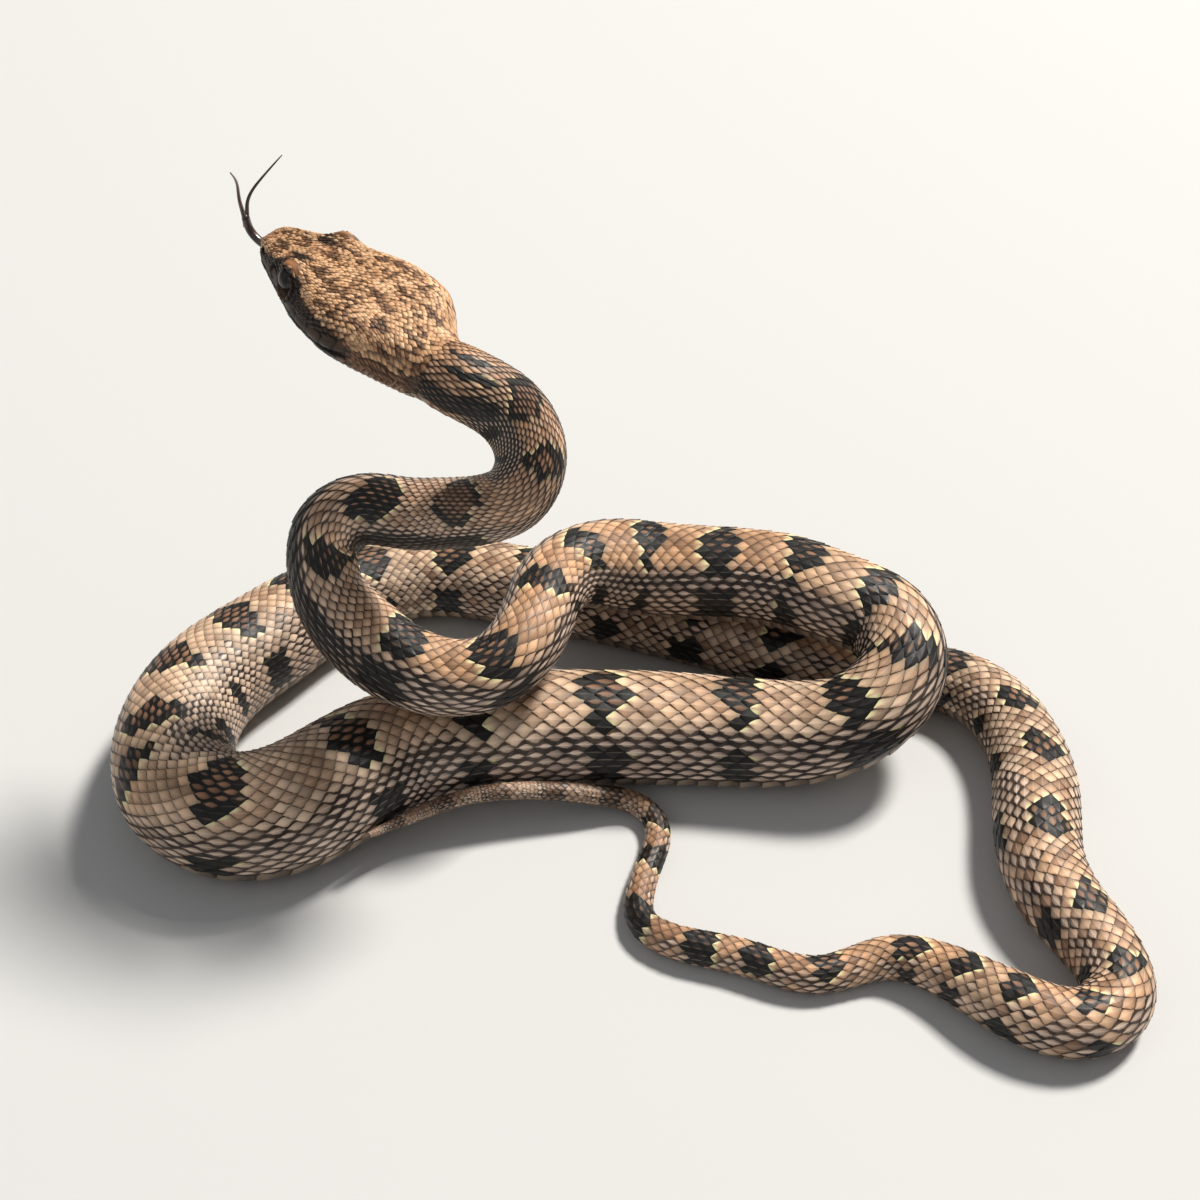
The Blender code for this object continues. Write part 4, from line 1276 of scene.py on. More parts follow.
@dataclass(frozen=True)
class ViperFinish:
    """The skin's and the scales' finishes, with the markings as one group that both use."""

    palette: Palette = Palette()
    scale_roughness: float = 0.46
    skin_roughness: float = 0.7

    def markings(self) -> bpy.types.NodeTree:
        """Group: colour of a scale's middle and edge, how far the middle reaches, and how strong the
        painted highlight along its keel is.

        The middle starts as tan turning to orange with warmth, and is replaced in turn by the flank's,
        the belly's, the heart's and the blotch's colours; then it varies with the scale's tone and a
        fine noise, and the cream comes last.
        """
        paint = self.palette
        tree = bpy.data.node_groups.new("viper_markings", "ShaderNodeTree")
        for side, kind, labels in (
                ("INPUT", "Vector", ("Marks", "Zone")), ("INPUT", "Float", ("Tone",)),
                ("INPUT", "Vector", ("Place",)), ("OUTPUT", "Color", ("Middle", "Edge")),
                ("OUTPUT", "Float", ("Reach", "Slim", "Keel_Highlight"))):
            for label in labels:
                tree.interface.new_socket(label, in_out=side, socket_type="NodeSocket" + kind)
        given, result = tree.nodes.new("NodeGroupInput").outputs, tree.nodes.new("NodeGroupOutput").inputs
        pen = Pen(tree)
        blotch, heart, cream = pen.split(given["Marks"])
        flank, belly, warm = pen.split(given["Zone"])
        middle = pen.mix(warm, paint.tan, paint.orange)
        middle = pen.mix(flank, middle, paint.flank_middle)
        middle = pen.mix(belly, middle, paint.belly)
        middle = pen.mix(pen.ease(heart, 0.0, 0.3), middle, paint.brown)
        dark = pen.times(blotch, pen.ease(heart, 0.1, 0.8, 1.0, 0.0))
        middle = pen.mix(dark, middle, paint.black)
        cloud = pen.noise(given["Place"], 300.0, 6.0)
        lit = pen.plus(pen.times(given["Tone"], 0.5), pen.times(cloud, 0.55), 0.46)
        middle = pen.darken(middle, lit)
        middle = pen.mix(cream, middle, paint.cream)
        faint = pen.ease(pen.noise(given["Place"], 210.0, 2.0), 0.35, 0.65, 0.0, 0.3)
        faint = pen.times(faint, pen.ease(flank, 0.0, 1.0, 1.0, 0.5))
        edge = pen.mix(flank, paint.outline, paint.flank)
        edge = pen.mix(faint, edge, middle)
        edge = pen.mix(belly, edge, paint.belly_edge)
        edge = pen.mix(blotch, edge, paint.black)
        edge = pen.mix(cream, edge, paint.cream_edge)
        worn = pen.plus(pen.times(pen.minus(given["Tone"], 0.5), 0.36), 0.12)
        reach = pen.plus(pen.minus(0.91, pen.times(flank, worn)), pen.times(cream, 0.5))
        ringed = pen.times(blotch, pen.minus(0.7, pen.times(heart, 0.5)))
        slim = pen.plus(1.0, pen.times(flank, 0.9), pen.times(blotch, 0.6))
        # strength of the painted highlight along the keel: stronger on the flank, weaker on blotches
        keel = pen.times(pen.plus(0.22, pen.times(flank, 0.5)),
                         pen.minus(1.0, pen.times(blotch, 0.8)))
        for label, value in (("Middle", middle), ("Edge", edge), ("Reach", pen.minus(reach, ringed)),
                             ("Slim", slim), ("Keel_Highlight", keel)):
            pen.feed(result[label], value)
        return tree

    def scales(self, markings: bpy.types.NodeTree, look: ScaleLook) -> Material:
        """Scales with a lens-shaped middle, a dark edge, a painted highlight along the keel, painted
        shade at the root, fine grain and a low sheen.

        Args:
            markings: the group of markings.
            look: how this kind of scale looks.

        Returns:
            The material.
        """
        pen, shader, finish = new_finish(look.name, self.scale_roughness, Specular_IOR_Level=0.35)
        across, along, tone = pen.split(pen.attribute("cell"))
        place = pen.object_place()
        marks = pen.group(markings, marks=pen.attribute("marks"), zone=pen.attribute("zone"),
                          tone=tone, place=place).outputs
        side = pen.math("ABSOLUTE", across)
        width = side if look.pushed_out else pen.times(side, marks["Slim"])
        ends = pen.times(pen.math("ABSOLUTE", pen.minus(along, 0.6)), 2.3)
        ragged = pen.times(pen.minus(pen.noise(place, 2600.0, 2.0), 0.5), 0.24)
        squares = pen.plus(pen.times(width, width), pen.times(ends, ends))
        rim = pen.plus(pen.math("SQRT", squares), ragged)
        reach = pen.plus(marks["Reach"], look.pushed_out)
        inside = pen.ease(rim, pen.minus(reach, 0.12), pen.plus(reach, 0.14), 1.0, 0.0)
        middle = pen.mix(1.0, marks["Middle"], look.tint, "MULTIPLY")
        edge = pen.mix(look.fading, marks["Edge"], middle)
        # painted shade at each scale's root, where the scale ahead overlaps it, times a darkening towards
        # the rim
        painted_root_shade_and_rim = pen.times(pen.ease(along, 0.25, 0.85, 0.5 + 0.5 * look.fading, 1.08),
                          pen.ease(rim, 0.2, 1.0, 1.06, 0.78))
        colour = pen.darken(pen.mix(inside, edge, middle), painted_root_shade_and_rim)
        # painted highlight along the keel ridge, in the palette's keel colour
        keel = pen.times(pen.ease(side, 0.02, 0.14, 1.0, 0.0), pen.ease(along, 0.25, 0.5),
                         marks["Keel_Highlight"], pen.ease(tone, 0.0, 0.8, 0.3, 1.3), look.keel)
        pen.feed(shader.inputs["Base Color"], pen.mix(keel, colour, self.palette.keel))
        worn = pen.ease(pen.noise(place, 900.0, 3.0), 0.3, 0.7, self.scale_roughness - 0.08,
                        self.scale_roughness + 0.12)
        pen.feed(shader.inputs["Roughness"], worn)
        pen.bump(shader, pen.noise(place, 9000.0, 2.0), 0.35, 0.00006)
        return finish

    def skin(self, markings: bpy.types.NodeTree) -> Material:
        """The skin between the scales: the same markings, darker, with painted shade in the sockets,
        pits, nostrils and mouth line, and a fine crinkle.

        Args:
            markings: the group of markings.

        Returns:
            The material.
        """
        pen, shader, finish = new_finish("viper_skin", self.skin_roughness, Specular_IOR_Level=0.25)
        place = pen.object_place()
        marks = pen.group(markings, marks=pen.attribute("marks"), zone=pen.attribute("zone"),
                          tone=0.3, place=place).outputs
        # the first part of cell is the painted shade of the recesses
        socket, on_head, _ = pen.split(pen.attribute("cell"))
        colour = pen.mix(pen.ease(on_head, 0.0, 1.0, 0.18, 0.5), marks["Edge"], marks["Middle"])
        pen.feed(shader.inputs["Base Color"], pen.mix(socket, colour, self.palette.socket))
        crinkle = pen.noise(place, 4200.0, 4.0)
        pen.feed(shader.inputs["Roughness"], pen.ease(crinkle, 0.3, 0.7, 0.6, 0.8))
        pen.bump(shader, crinkle, 0.6, 0.00012)
        return finish


@dataclass(frozen=True)
class EyeFinish:
    """A glossy eye with an upright slit pupil in a speckled bronze iris."""

    bronze: Colour = linear(66, 54, 44)
    dark: Colour = linear(26, 22, 19)
    pupil: Colour = linear(6, 5, 5)

    def build(self) -> Material:
        """The material; it reads where each point lies on the ball from the attribute gaze."""
        pen, shader, finish = new_finish("viper_eye", 0.35, Specular_IOR_Level=0.25,
                                         Coat_Weight=0.2, Coat_Roughness=0.06)
        place = pen.attribute("gaze")
        forward, up, outward = pen.split(place)
        speckle = pen.ease(pen.noise(place, 14.0, 4.0), 0.35, 0.65)
        iris = pen.mix(speckle, self.dark, self.bronze)
        wide = pen.math("DIVIDE", forward, 0.17)
        tall = pen.math("DIVIDE", up, 0.66)
        slit = pen.plus(pen.times(wide, wide), pen.times(tall, tall))
        colour = pen.mix(pen.ease(slit, 0.85, 1.2), self.pupil, iris)
        colour = pen.mix(pen.ease(outward, 0.45, 0.66, 1.0, 0.0), colour, self.pupil)
        pen.feed(shader.inputs["Base Color"], colour)
        return finish


@dataclass(frozen=True)
class TongueFinish:
    """A wet blackish-brown tongue."""

    root: Colour = linear(92, 60, 50)
    tip: Colour = linear(42, 27, 25)

    def build(self) -> Material:
        """The material, with fine mottling."""
        pen, shader, finish = new_finish("viper_tongue", 0.3, Coat_Weight=0.7, Coat_Roughness=0.08)
        place = pen.object_place()
        mottle = pen.ease(pen.noise(place, 900.0), 0.35, 0.65)
        pen.feed(shader.inputs["Base Color"], pen.mix(mottle, self.root, self.tip))
        pen.bump(shader, pen.noise(place, 5000.0), 0.3, 0.00005)
        return finish


@dataclass
class Skin:
    """One closed skin from tail tip to snout, inside the solids by the coat's depth."""

    coat: Coat
    markings: Markings
    body_step: int = 4
    head_step: int = 2
    dome_rows: int = 4
    snout_bulge: float = 0.3
    strips: int = 4
    strip_share: float = 0.97     # share of its room on the bake map that a strip fills
    strip_start: float = 0.008
    strip_edge: float = 0.01

    def rows(self) -> Array:
        """S of the skin's rings."""
        form = self.coat.form
        body = form.rows[form.rows < form.length - NAPE_BLEND][::self.body_step]
        return np.r_[body, form.rows[form.rows >= form.length - NAPE_BLEND][::-self.head_step][::-1]]

    def build(self) -> Mesh:
        """The skin's mesh: a grid of rings, a dome at the snout and a point at each end."""
        form = self.coat.form
        rows = self.rows()
        count = 2 * form.HALF
        at = np.repeat(rows[:, None], count, axis=1)
        arc = (np.arange(count) / form.HALF - 1.0) * form.arc_limit(at)
        places = self.coat.place(at, arc, np.zeros(at.shape))
        rise = np.linspace(0.0, math.pi / 2.0, self.dome_rows + 1)[1:-1]
        last = places[-1]
        middle = last.mean(axis=0)
        forward = form.head.axes[:, 1]
        dome = (middle + (last - middle) * np.cos(rise)[:, None, None]
                + forward * self.snout_bulge * np.sin(rise)[:, None, None])
        places = np.concatenate([places, dome])
        tail = places[0].mean(axis=0) - form.course[0] * GIRTH[0][1]
        points = np.vstack([places.reshape(-1, 3), tail, middle + forward * self.snout_bulge])
        quads, fans = ring_faces(len(places), count)
        outward = [quads[:, [0, 3, 2, 1]], fans[:count, [0, 2, 1]], fans[count:, [2, 1, 0]]]
        mesh = add_mesh("viper_skin", points, *joined(outward))
        self._mark(mesh, at, arc, len(dome))
        self._map(mesh, np.r_[rows, form.total + 0.4 * np.arange(1, self.dome_rows)], count)
        return mesh

    def _mark(self, mesh: Mesh, at: Array, arc: Array, more: int) -> None:
        """Gives the skin the animal's markings, and paints shade into the eye sockets, heat pits,
        nostrils and mouth line.

        Args:
            mesh: the skin.
            at: S of each point of the rings.
            arc: arc of each point of the rings.
            more: number of the dome's rings, which take the last ring's marks.
        """
        form = self.coat.form
        marks, zone = self.markings.read(at, arc)
        marks[..., 2] = 0.0
        behind, out, height = form.head.measure(form.read(at, arc)[0])
        on_head = (at > form.length).astype(float)
        flank = ease(np.abs(out), 0.8, 1.6) * on_head
        mouth = on_head * fade(behind, MOUTH_END - 1.5, MOUTH_END)
        painted_recess_shade = flank * fade(away_from(EYE_SPOT, behind, height), 1.3, 1.7)
        painted_recess_shade += flank * bell(away_from(PIT_SPOT, behind, height), 0.5)
        painted_recess_shade += flank * bell(away_from(NOSTRIL_SPOT, behind, height), 0.32)
        painted_recess_shade += mouth * bell(height - form.head.mouth(behind), 0.17)
        cell = np.stack([painted_recess_shade.clip(0.0, 1.0), on_head, 0.0 * painted_recess_shade], axis=-1)
        for name, values in (("marks", marks), ("zone", zone), ("cell", cell)):
            rings = [*values, *[values[-1]] * more]
            add_vectors(mesh, name, np.vstack([*rings, values[0, :1], values[-1, -1:]]))

    def _map(self, mesh: Mesh, rows: Array, count: int) -> None:
        """Unrolls the skin into strips side by side: S along a strip, the arc across it.

        Args:
            mesh: the skin.
            rows: S of each ring, with the dome's.
            count: points on each ring.
        """
        span = (rows[-1] + 1.0) / self.strips
        j, i = np.meshgrid(np.arange(len(rows) - 1), np.arange(count), indexing="ij")
        strip = np.floor(rows[j] / span)[..., None]
        start, edge, share = self.strip_start, self.strip_edge, self.strip_share
        along = start + share * (rows[np.stack([j, j, j + 1, j + 1], axis=2)] / span - strip)
        across = strip + edge + share * np.stack([i, i + 1, i + 1, i], axis=2) / count
        quads = np.stack([along, across / self.strips], axis=3).reshape(-1, 2)
        low, high = ((edge + share * (np.arange(count) + k) / count) / self.strips for k in (0, 1))
        end = start + share * (rows[-1] / span - self.strips + 1)
        lift = (self.strips - 1) / self.strips
        fans = [((0.001, (low + high) / 2), (start, high), (start, low)),
                ((end, low + lift), (end, high + lift), (end + 0.006, (low + high) / 2 + lift))]
        add_map(mesh, np.vstack([quads] + [
            np.stack([np.column_stack([np.full(count, x), y]) for x, y in fan], axis=1).reshape(-1, 2)
            for fan in fans]))


@dataclass(frozen=True)
class ScaleShape:
    """Proportions of one kind of scale.

    ahead and astern are over the pitch, overlap over the column's width, and the heights (keel, swell,
    root, rise) over the coat's depth.
    """

    pattern: Pattern
    ahead: float
    astern: float
    overlap: float
    tip_power: float
    least_width: float
    keel: float
    keel_width: float
    keel_start: tuple[float, float]
    swell: float
    domed: bool
    root: float
    rise: float


class Lie(Enum):
    """How a set of scales is shaped: keeled and pointed behind, or small, domed and rounded behind."""

    KEELED = ScaleShape(KEELED_GRID, 0.7, 0.61, 1.02, tip_power=1.95, least_width=0.1, keel=0.1,
                        keel_width=0.34, keel_start=(0.05, 0.4), swell=0.2, domed=False,
                        root=0.06, rise=0.74)
    GRANULAR = ScaleShape(SMALL_GRID, 0.68, 0.6, 1.06, tip_power=1.65, least_width=0.12, keel=0.16,
                          keel_width=0.5, keel_start=(0.1, 0.5), swell=0.42, domed=True,
                          root=0.02, rise=0.5)


@dataclass
class Scales:
    """Lattices of overlapping scales: columns along the body, each next one half a pitch on."""

    coat: Coat
    most_columns: int = 46
    jitter: float = 0.035
    head_jitter: float = 0.24
    head_sway: float = 0.9
    throat_pitch: float = 1.35
    throat_column: float = 0.6
    throat_columns: int = 16      # on each side of the middle line

    def lattice(self, start: float, end: float, draw: Generator) -> tuple[Array, Array]:
        """Places of the dorsal scales between two values of S.

        Args:
            start: S where they begin.
            end: S where they end.
            draw: source of small differences.

        Returns:
            S and arc of each scale.
        """
        coat = self.coat
        column = np.arange(-self.most_columns, self.most_columns + 1)
        low, high = np.interp([start, end], coat.at, coat.phase)
        whole = np.arange(math.floor(low), math.ceil(high) + 1)
        phase = whole[None] + 0.5 * (column[:, None] % 2)
        column = np.repeat(column[:, None], len(whole), axis=1)
        on_head = start >= coat.form.length
        loose = self.head_jitter if on_head else self.jitter
        at = np.interp(phase, coat.phase, coat.at)
        place = coat.form.read(at, column * coat.column(at))[0]
        sway_along, sway_across = (self.head_sway * on_head * noise.read(place) for noise in SCALE_SWAY)
        phase = phase + draw.uniform(-loose, loose, phase.shape) + sway_along
        at = np.interp(phase, coat.phase, coat.at)
        arc = (column + draw.uniform(-loose, loose, phase.shape) + sway_across) * coat.column(at)
        if not on_head:
            arc *= 1.1 - 0.1 * np.abs(arc) / coat.edge(at)
        kept = np.abs(arc) <= coat.edge(at) - (0.1 - 0.2 * on_head) * coat.column(at)
        kept &= (at >= start) & (at < end) & (at > 1.2) & (at < coat.form.total - 0.9)
        if on_head:
            kept &= self.clear_of_shields(at, arc)
        return at[kept], arc[kept]

    def plates(self, at: Array, arc: Array, pitch: Array, wide: Array, lie: Lie,
               draw: Generator) -> Plates:
        """Scales at given places.

        A scale runs from its root, ahead and low, to its tip, behind and raised.  Its half width eases
        from 0.55 to full at its place, then falls to the tip as 1 - t^tip_power.  Its top rises along
        it, falls as 1 - x^2 to the sides, and carries a keel along its middle.

        Args:
            at: S of each scale.
            arc: arc of each scale.
            pitch: pitch at each scale.
            wide: half width of each scale.
            lie: how the scales are shaped.
            draw: source of small differences.

        Returns:
            The plates.
        """
        shape = lie.value
        across, along = shape.pattern.grid()
        length = shape.ahead + shape.astern
        widest = shape.ahead / length
        tail = np.clip((along - widest) / (1.0 - widest), 0.0, 1.0)
        width = np.where(along < widest, 0.55 + 0.45 * ease(along, 0.0, widest),
                         1.0 - tail ** shape.tip_power).clip(shape.least_width)
        slimmer = 0.3 * ease(at, 545.0, 568.0) * (lie is Lie.KEELED)
        lift = draw.uniform(0.85, 1.12, len(at))
        side = np.abs(across)
        keel = shape.keel * np.clip(1.0 - side / shape.keel_width, 0.0, 1.0)
        swell = shape.swell * (1.0 - side ** 2)
        if shape.domed:
            swell = swell * np.sin(math.pi * (0.12 + 0.74 * along))
        rise = shape.root + shape.rise * along + swell + keel * ease(along, *shape.keel_start)
        at, arc, pitch, wide, lift, slimmer = (
            values[:, None, None] for values in (at, arc, pitch, wide, lift, slimmer))
        return Plates(shape.pattern, at + pitch * (shape.ahead - length * along),
                      arc + wide * (shape.overlap - slimmer) * width * across,
                      self.coat.depth(at) * lift * rise, (at[:, 0, 0], arc[:, 0, 0]))

    def dorsal(self, start: float, end: float, lie: Lie, draw: Generator) -> Plates:
        """The dorsal scales between two values of S."""
        at, arc = self.lattice(start, end, draw)
        return self.plates(at, arc, self.coat.pitch(at), self.coat.column(at), lie, draw)

    def clear_of_shields(self, at: Array, arc: Array) -> Array:
        """Whether each place on the head is clear of the eyes, pits, nostrils and smooth shields.

        Args:
            at: S of each place.
            arc: arc of each place.

        Returns:
            True where it is clear.
        """
        behind, out, height = self.coat.form.head.measure(self.coat.form.read(at, arc)[0])
        clear = (away_from(EYE_SPOT, behind, height) > 2.05) | (np.abs(out) < 2.0)
        clear &= away_from(PIT_SPOT, behind, height) > 0.62
        clear &= away_from(NOSTRIL_SPOT, behind, height) > 0.5
        return clear & ~BROW_SHIELD.covers(behind, np.abs(arc))

    def throat(self, draw: Generator) -> Plates:
        """Small scales under the jaw, in columns counted from the throat's middle line.

        Args:
            draw: source of small differences.

        Returns:
            The plates.
        """
        form, pitch, wide = self.coat.form, self.throat_pitch, self.throat_column
        column = np.arange(-self.throat_columns, self.throat_columns + 1)[:, None]
        first, last = form.length + 2.0, form.total - 2.4
        row = np.arange(int((last - first) / pitch) + 1)
        at = last - pitch * (row + 0.5 * (column % 2))
        behind = form.total - at
        across = wide * np.repeat(column, len(row), axis=1) * ease(behind, -6.0, 10.0)
        lips = (lip_height(behind) + LOWER_LIP) * (1.0 - past_mouth(behind))
        kept = np.abs(across) < form.arc_limit(at) - self.coat.edge(at) - lips + 0.15
        at, across = at[kept], across[kept]
        return self.plates(at, form.arc_limit(at) + across, np.full(len(at), pitch),
                           np.full(len(at), wide), Lie.GRANULAR, draw)


@dataclass(frozen=True)
class BrowShield:
    """The smooth shield over an eye: its middle, how it slants, its half length and half width."""

    behind: float = 8.8
    arc: float = 4.85
    slope: float = 0.2
    half_length: float = 1.85
    half_width: float = 0.68

    def middle(self, behind: Array) -> Array:
        """Arc of its middle line at a distance behind the snout tip."""
        return self.arc + self.slope * (behind - self.behind)

    def covers(self, behind: Array, arc: Array) -> Array:
        """Whether each place lies under the shield."""
        return np.hypot((behind - self.behind) / self.half_length,
                        (arc - self.middle(behind)) / self.half_width) < 0.93


BROW_SHIELD = BrowShield()


@dataclass
class Shields:
    """Larger plates: belly and tail bands, lip plates, brow shields, the ring round each eye."""

    coat: Coat
    ring_plates: int = 14

    def belly(self, start: float, end: float, halves: tuple[float, ...]) -> Plates:
        """Bands across the belly, or the paired plates under the tail.

        A band runs from one edge of the keeled scales to the other across the belly line; its free
        hind edge bows back in the middle.

        Args:
            start: S where they begin.
            end: S where they end.
            halves: (0,) for whole bands; (-1, 1) for plates in pairs.

        Returns:
            The plates.
        """
        coat = self.coat
        phase = (1.0 / through(BAND_PITCH, coat.at)[:, 0]).cumsum() * (coat.at[1] - coat.at[0])
        low, high = np.interp([start, end], coat.at, phase)
        at = np.repeat(np.interp(np.arange(math.ceil(low), high), phase, coat.at), len(halves))
        side = np.tile(halves, len(at) // len(halves)).astype(float)[:, None, None]
        across, along = BAND_GRID.grid()
        limit = coat.form.arc_limit(at)
        half = (limit - coat.edge(at) + 0.45 * coat.column(at))[:, None, None]
        shift = side * 0.51 * half
        reach = np.where(side == 0.0, half, 0.5 * half)
        reach = reach * (1.0 - 0.1 * ease(along, 0.8, 1.0)) * across
        pitch = through(BAND_PITCH, at)[:, :1, None]
        place_at = at[:, None, None] + pitch * (0.6 - 1.16 * along + 0.2 * along * across ** 2)
        top = coat.depth(at)[:, None, None] * (0.1 + 0.62 * along - 0.2 * np.abs(across) ** 5)
        return Plates(BAND_GRID, place_at, limit[:, None, None] + shift + reach, top,
                      (at, limit + 0.4 * (side * half)[:, 0, 0]))

    def lips(self, lower: bool) -> Plates:
        """Lip plates along both sides of the mouth, each domed with rounded borders.

        Args:
            lower: whether they are the lower lip's.

        Returns:
            The plates.
        """
        form = self.coat.form
        bounds = np.array(LIP_BOUNDS)
        if lower:
            bounds = bounds + LOWER_LIP_SHIFT
        across, along = SHIELD_GRID.grid()
        half = np.diff(bounds)[:, None, None] / 2.0 * 0.985
        middle = (bounds[1:] + bounds[:-1])[:, None, None] / 2.0
        slant = 0.22 * (along - 0.5)
        behind = middle + half * across * (1.0 - 0.12 * np.abs(2.0 * along - 1.0) ** 6) + slant
        mouth = form.head.mouth(behind)
        if lower:
            height = mouth - LIP_GAP - LOWER_LIP * along
        else:
            height = mouth + LIP_GAP + (lip_height(behind) - LIP_GAP + 0.06) * along
        at = form.total - behind
        return self._both_sides(SHIELD_GRID, at, form.arc_at_height(at, height), 0.55)

    def brows(self) -> Plates:
        """The smooth shield over each eye: its half width falls to its ends as (1 - x^2)^0.4."""
        across, along = SHIELD_GRID.grid()
        shield = BROW_SHIELD
        behind = shield.behind + shield.half_length * across[None]
        width = shield.half_width * np.sqrt(1.0 - (0.97 * across) ** 2) ** 0.8
        arc = shield.middle(behind) + width * (2.0 * along - 1.0)
        return self._both_sides(SHIELD_GRID, self.coat.form.total - behind, arc, 0.85)

    def eye_rings(self) -> Plates:
        """Small plates in a ring round each eye, but for those that the brow hides."""
        form, count = self.coat.form, self.ring_plates
        across, along = SMALL_GRID.grid()
        turned = (np.arange(count) * 2.0 * math.pi / count)[:, None, None]
        angle = turned + across * math.pi / count * 0.97
        radius = 2.02 - 0.62 * along
        at = form.total - (EYE_SPOT[0] + radius * np.cos(angle))
        height = np.minimum(EYE_SPOT[1] + radius * np.sin(angle), 3.3)
        kept = EYE_SPOT[1] + 1.7 * np.sin(turned[:, 0, 0]) < 3.2
        return self._both_sides(SMALL_GRID, at[kept], form.arc_at_height(at, height)[kept], 1.5)

    def _both_sides(self, pattern: Pattern, at: Array, arc: Array, high: float) -> Plates:
        """Domed plates on the right side and their mirror images on the left.

        Args:
            pattern: the plates' grid.
            at: S of each point.
            arc: arc of each point.
            high: height over the coat's depth.

        Returns:
            The plates.
        """
        across, along = pattern.grid()
        at, arc = np.concatenate([at, at]), np.concatenate([arc, -arc])
        border = np.maximum(np.abs(across), np.abs(2.0 * along - 1.0))
        top = self.coat.depth(at) * high * (0.45 + 0.5 * (1.0 - border ** 4))
        middle = np.s_[:, at.shape[1] // 2, at.shape[2] // 2]
        return Plates(pattern, at, arc, top, (at[middle], arc[middle]))


@dataclass
class Eye:
    """One eye: a smooth ball in its socket."""

    form: Form
    side: float
    radius: float = 1.6
    rings: int = 28
    around: int = 48
    gaze: tuple[float, float] = (6.0, -14.0)    # how far the pupil is turned, in degrees

    def build(self, name: str) -> Mesh:
        """The ball: (sin a cos b, sin a sin b, cos a) with its pole turned out to the side.

        Args:
            name: the piece's name.

        Returns:
            The mesh.
        """
        a = np.linspace(0.0, math.pi, self.rings + 1)[1:-1][:, None]
        b = np.arange(self.around) * 2.0 * math.pi / self.around
        ball = np.stack([np.sin(a) * np.cos(b), np.sin(a) * np.sin(b),
                         np.cos(a) * np.ones_like(b)], axis=2).reshape(-1, 3)
        ball = np.vstack([ball, (0.0, 0.0, 1.0), (0.0, 0.0, -1.0)])
        local = np.column_stack([self.side * ball[:, 2], self.side * ball[:, 0], ball[:, 1]])
        place = np.array([HEAD_SWAY + self.side * EYE_OUT, HEAD_LENGTH - EYE_SPOT[0], EYE_SPOT[1]])
        mesh = add_mesh(name, self.form.head.world(place + self.radius * local),
                        *joined(ring_faces(self.rings - 1, self.around)))
        add_vectors(mesh, "gaze", ball @ (turn(0, self.gaze[0]) @ turn(1, self.gaze[1])).T)
        return mesh


@dataclass
class Tongue:
    """The forked tongue: a stem and two tines that taper to fine tips."""

    form: Form
    height: float = -0.6
    lean: float = 0.1             # how far the stem leans to the left for each length ahead
    stem: tuple = ((-2.0, 0.0), (-0.4, 0.0), (1.0, 0.2), (2.4, 1.0), (3.2, 2.6))
    left_tine: tuple = ((1.0, 3.5, 5.0), (1.9, 3.1, 8.3), (3.9, 2.2, 11.4))
    right_tine: tuple = ((0.3, 3.5, 4.5), (2.1, 3.2, 7.0), (4.9, 2.5, 9.6))
    stem_radius: float = 0.62
    tine_radius: float = 0.35
    tip_radius: float = 0.07
    flatness: float = 0.8
    sides: int = 20

    def tube(self, path: Array, radius: Array) -> Array:
        """Flattened rings square to a path, and a point beyond each end.

        Args:
            path: points of the path.
            radius: radius at each of them.

        Returns:
            The points, in the order that ring_faces counts them.
        """
        course = np.gradient(path, axis=0)
        course /= np.linalg.norm(course, axis=1)[:, None]
        side = np.array([1.0, 0.0, 0.0]) - course * course[:, :1]
        side /= np.linalg.norm(side, axis=1)[:, None]
        up = np.cross(side, course)
        angle = np.arange(self.sides) * 2.0 * math.pi / self.sides
        wide, high = np.cos(angle)[:, None], self.flatness * np.sin(angle)[:, None]
        rings = path[:, None] + radius[:, None, None] * (wide * side[:, None] + high * up[:, None])
        return np.vstack([rings.reshape(-1, 3), path[0], path[-1] + course[-1] * radius[-1]])

    def build(self) -> Mesh:
        """Stem and tines joined in one mesh."""
        stem = np.array([(HEAD_SWAY - self.lean * ahead, HEAD_LENGTH + ahead, self.height + up)
                         for ahead, up in self.stem])
        root = stem[-1]
        paths = [splines(stem[None], 8)[0]]
        radii = [self.stem_radius * (1.0 - 0.12 * np.linspace(0, 1, len(paths[0])))]
        for side, points in ((-1.0, self.left_tine), (1.0, self.right_tine)):
            tine = [root - (-side * 0.1, 0.15, 1.2), root + (side * 0.26, 0.0, 0.2)]
            tine += [np.array([HEAD_SWAY + side * out, HEAD_LENGTH + ahead, self.height + up])
                     for out, ahead, up in points]
            paths.append(splines(np.array(tine)[None], 8)[0])
            part = np.linspace(0.0, 1.0, len(paths[-1]))
            radii.append(self.tine_radius * (1 - part) ** 0.7 + self.tip_radius * part)
        places, faces, shift = [], [], 0
        for path, radius in zip(paths, radii):
            places.append(self.form.head.world(self.tube(path, radius)))
            faces += [block + shift for block in ring_faces(len(path), self.sides)]
            shift += len(places[-1])
        return add_mesh("viper_tongue", np.vstack(places), *joined(faces))


@dataclass(frozen=True)
class Lamp:
    """A square soft lamp that faces the model, in metres and watts."""

    name: str
    place: tuple[float, float, float]
    size: float
    power: float
    colour: tuple[float, float, float]


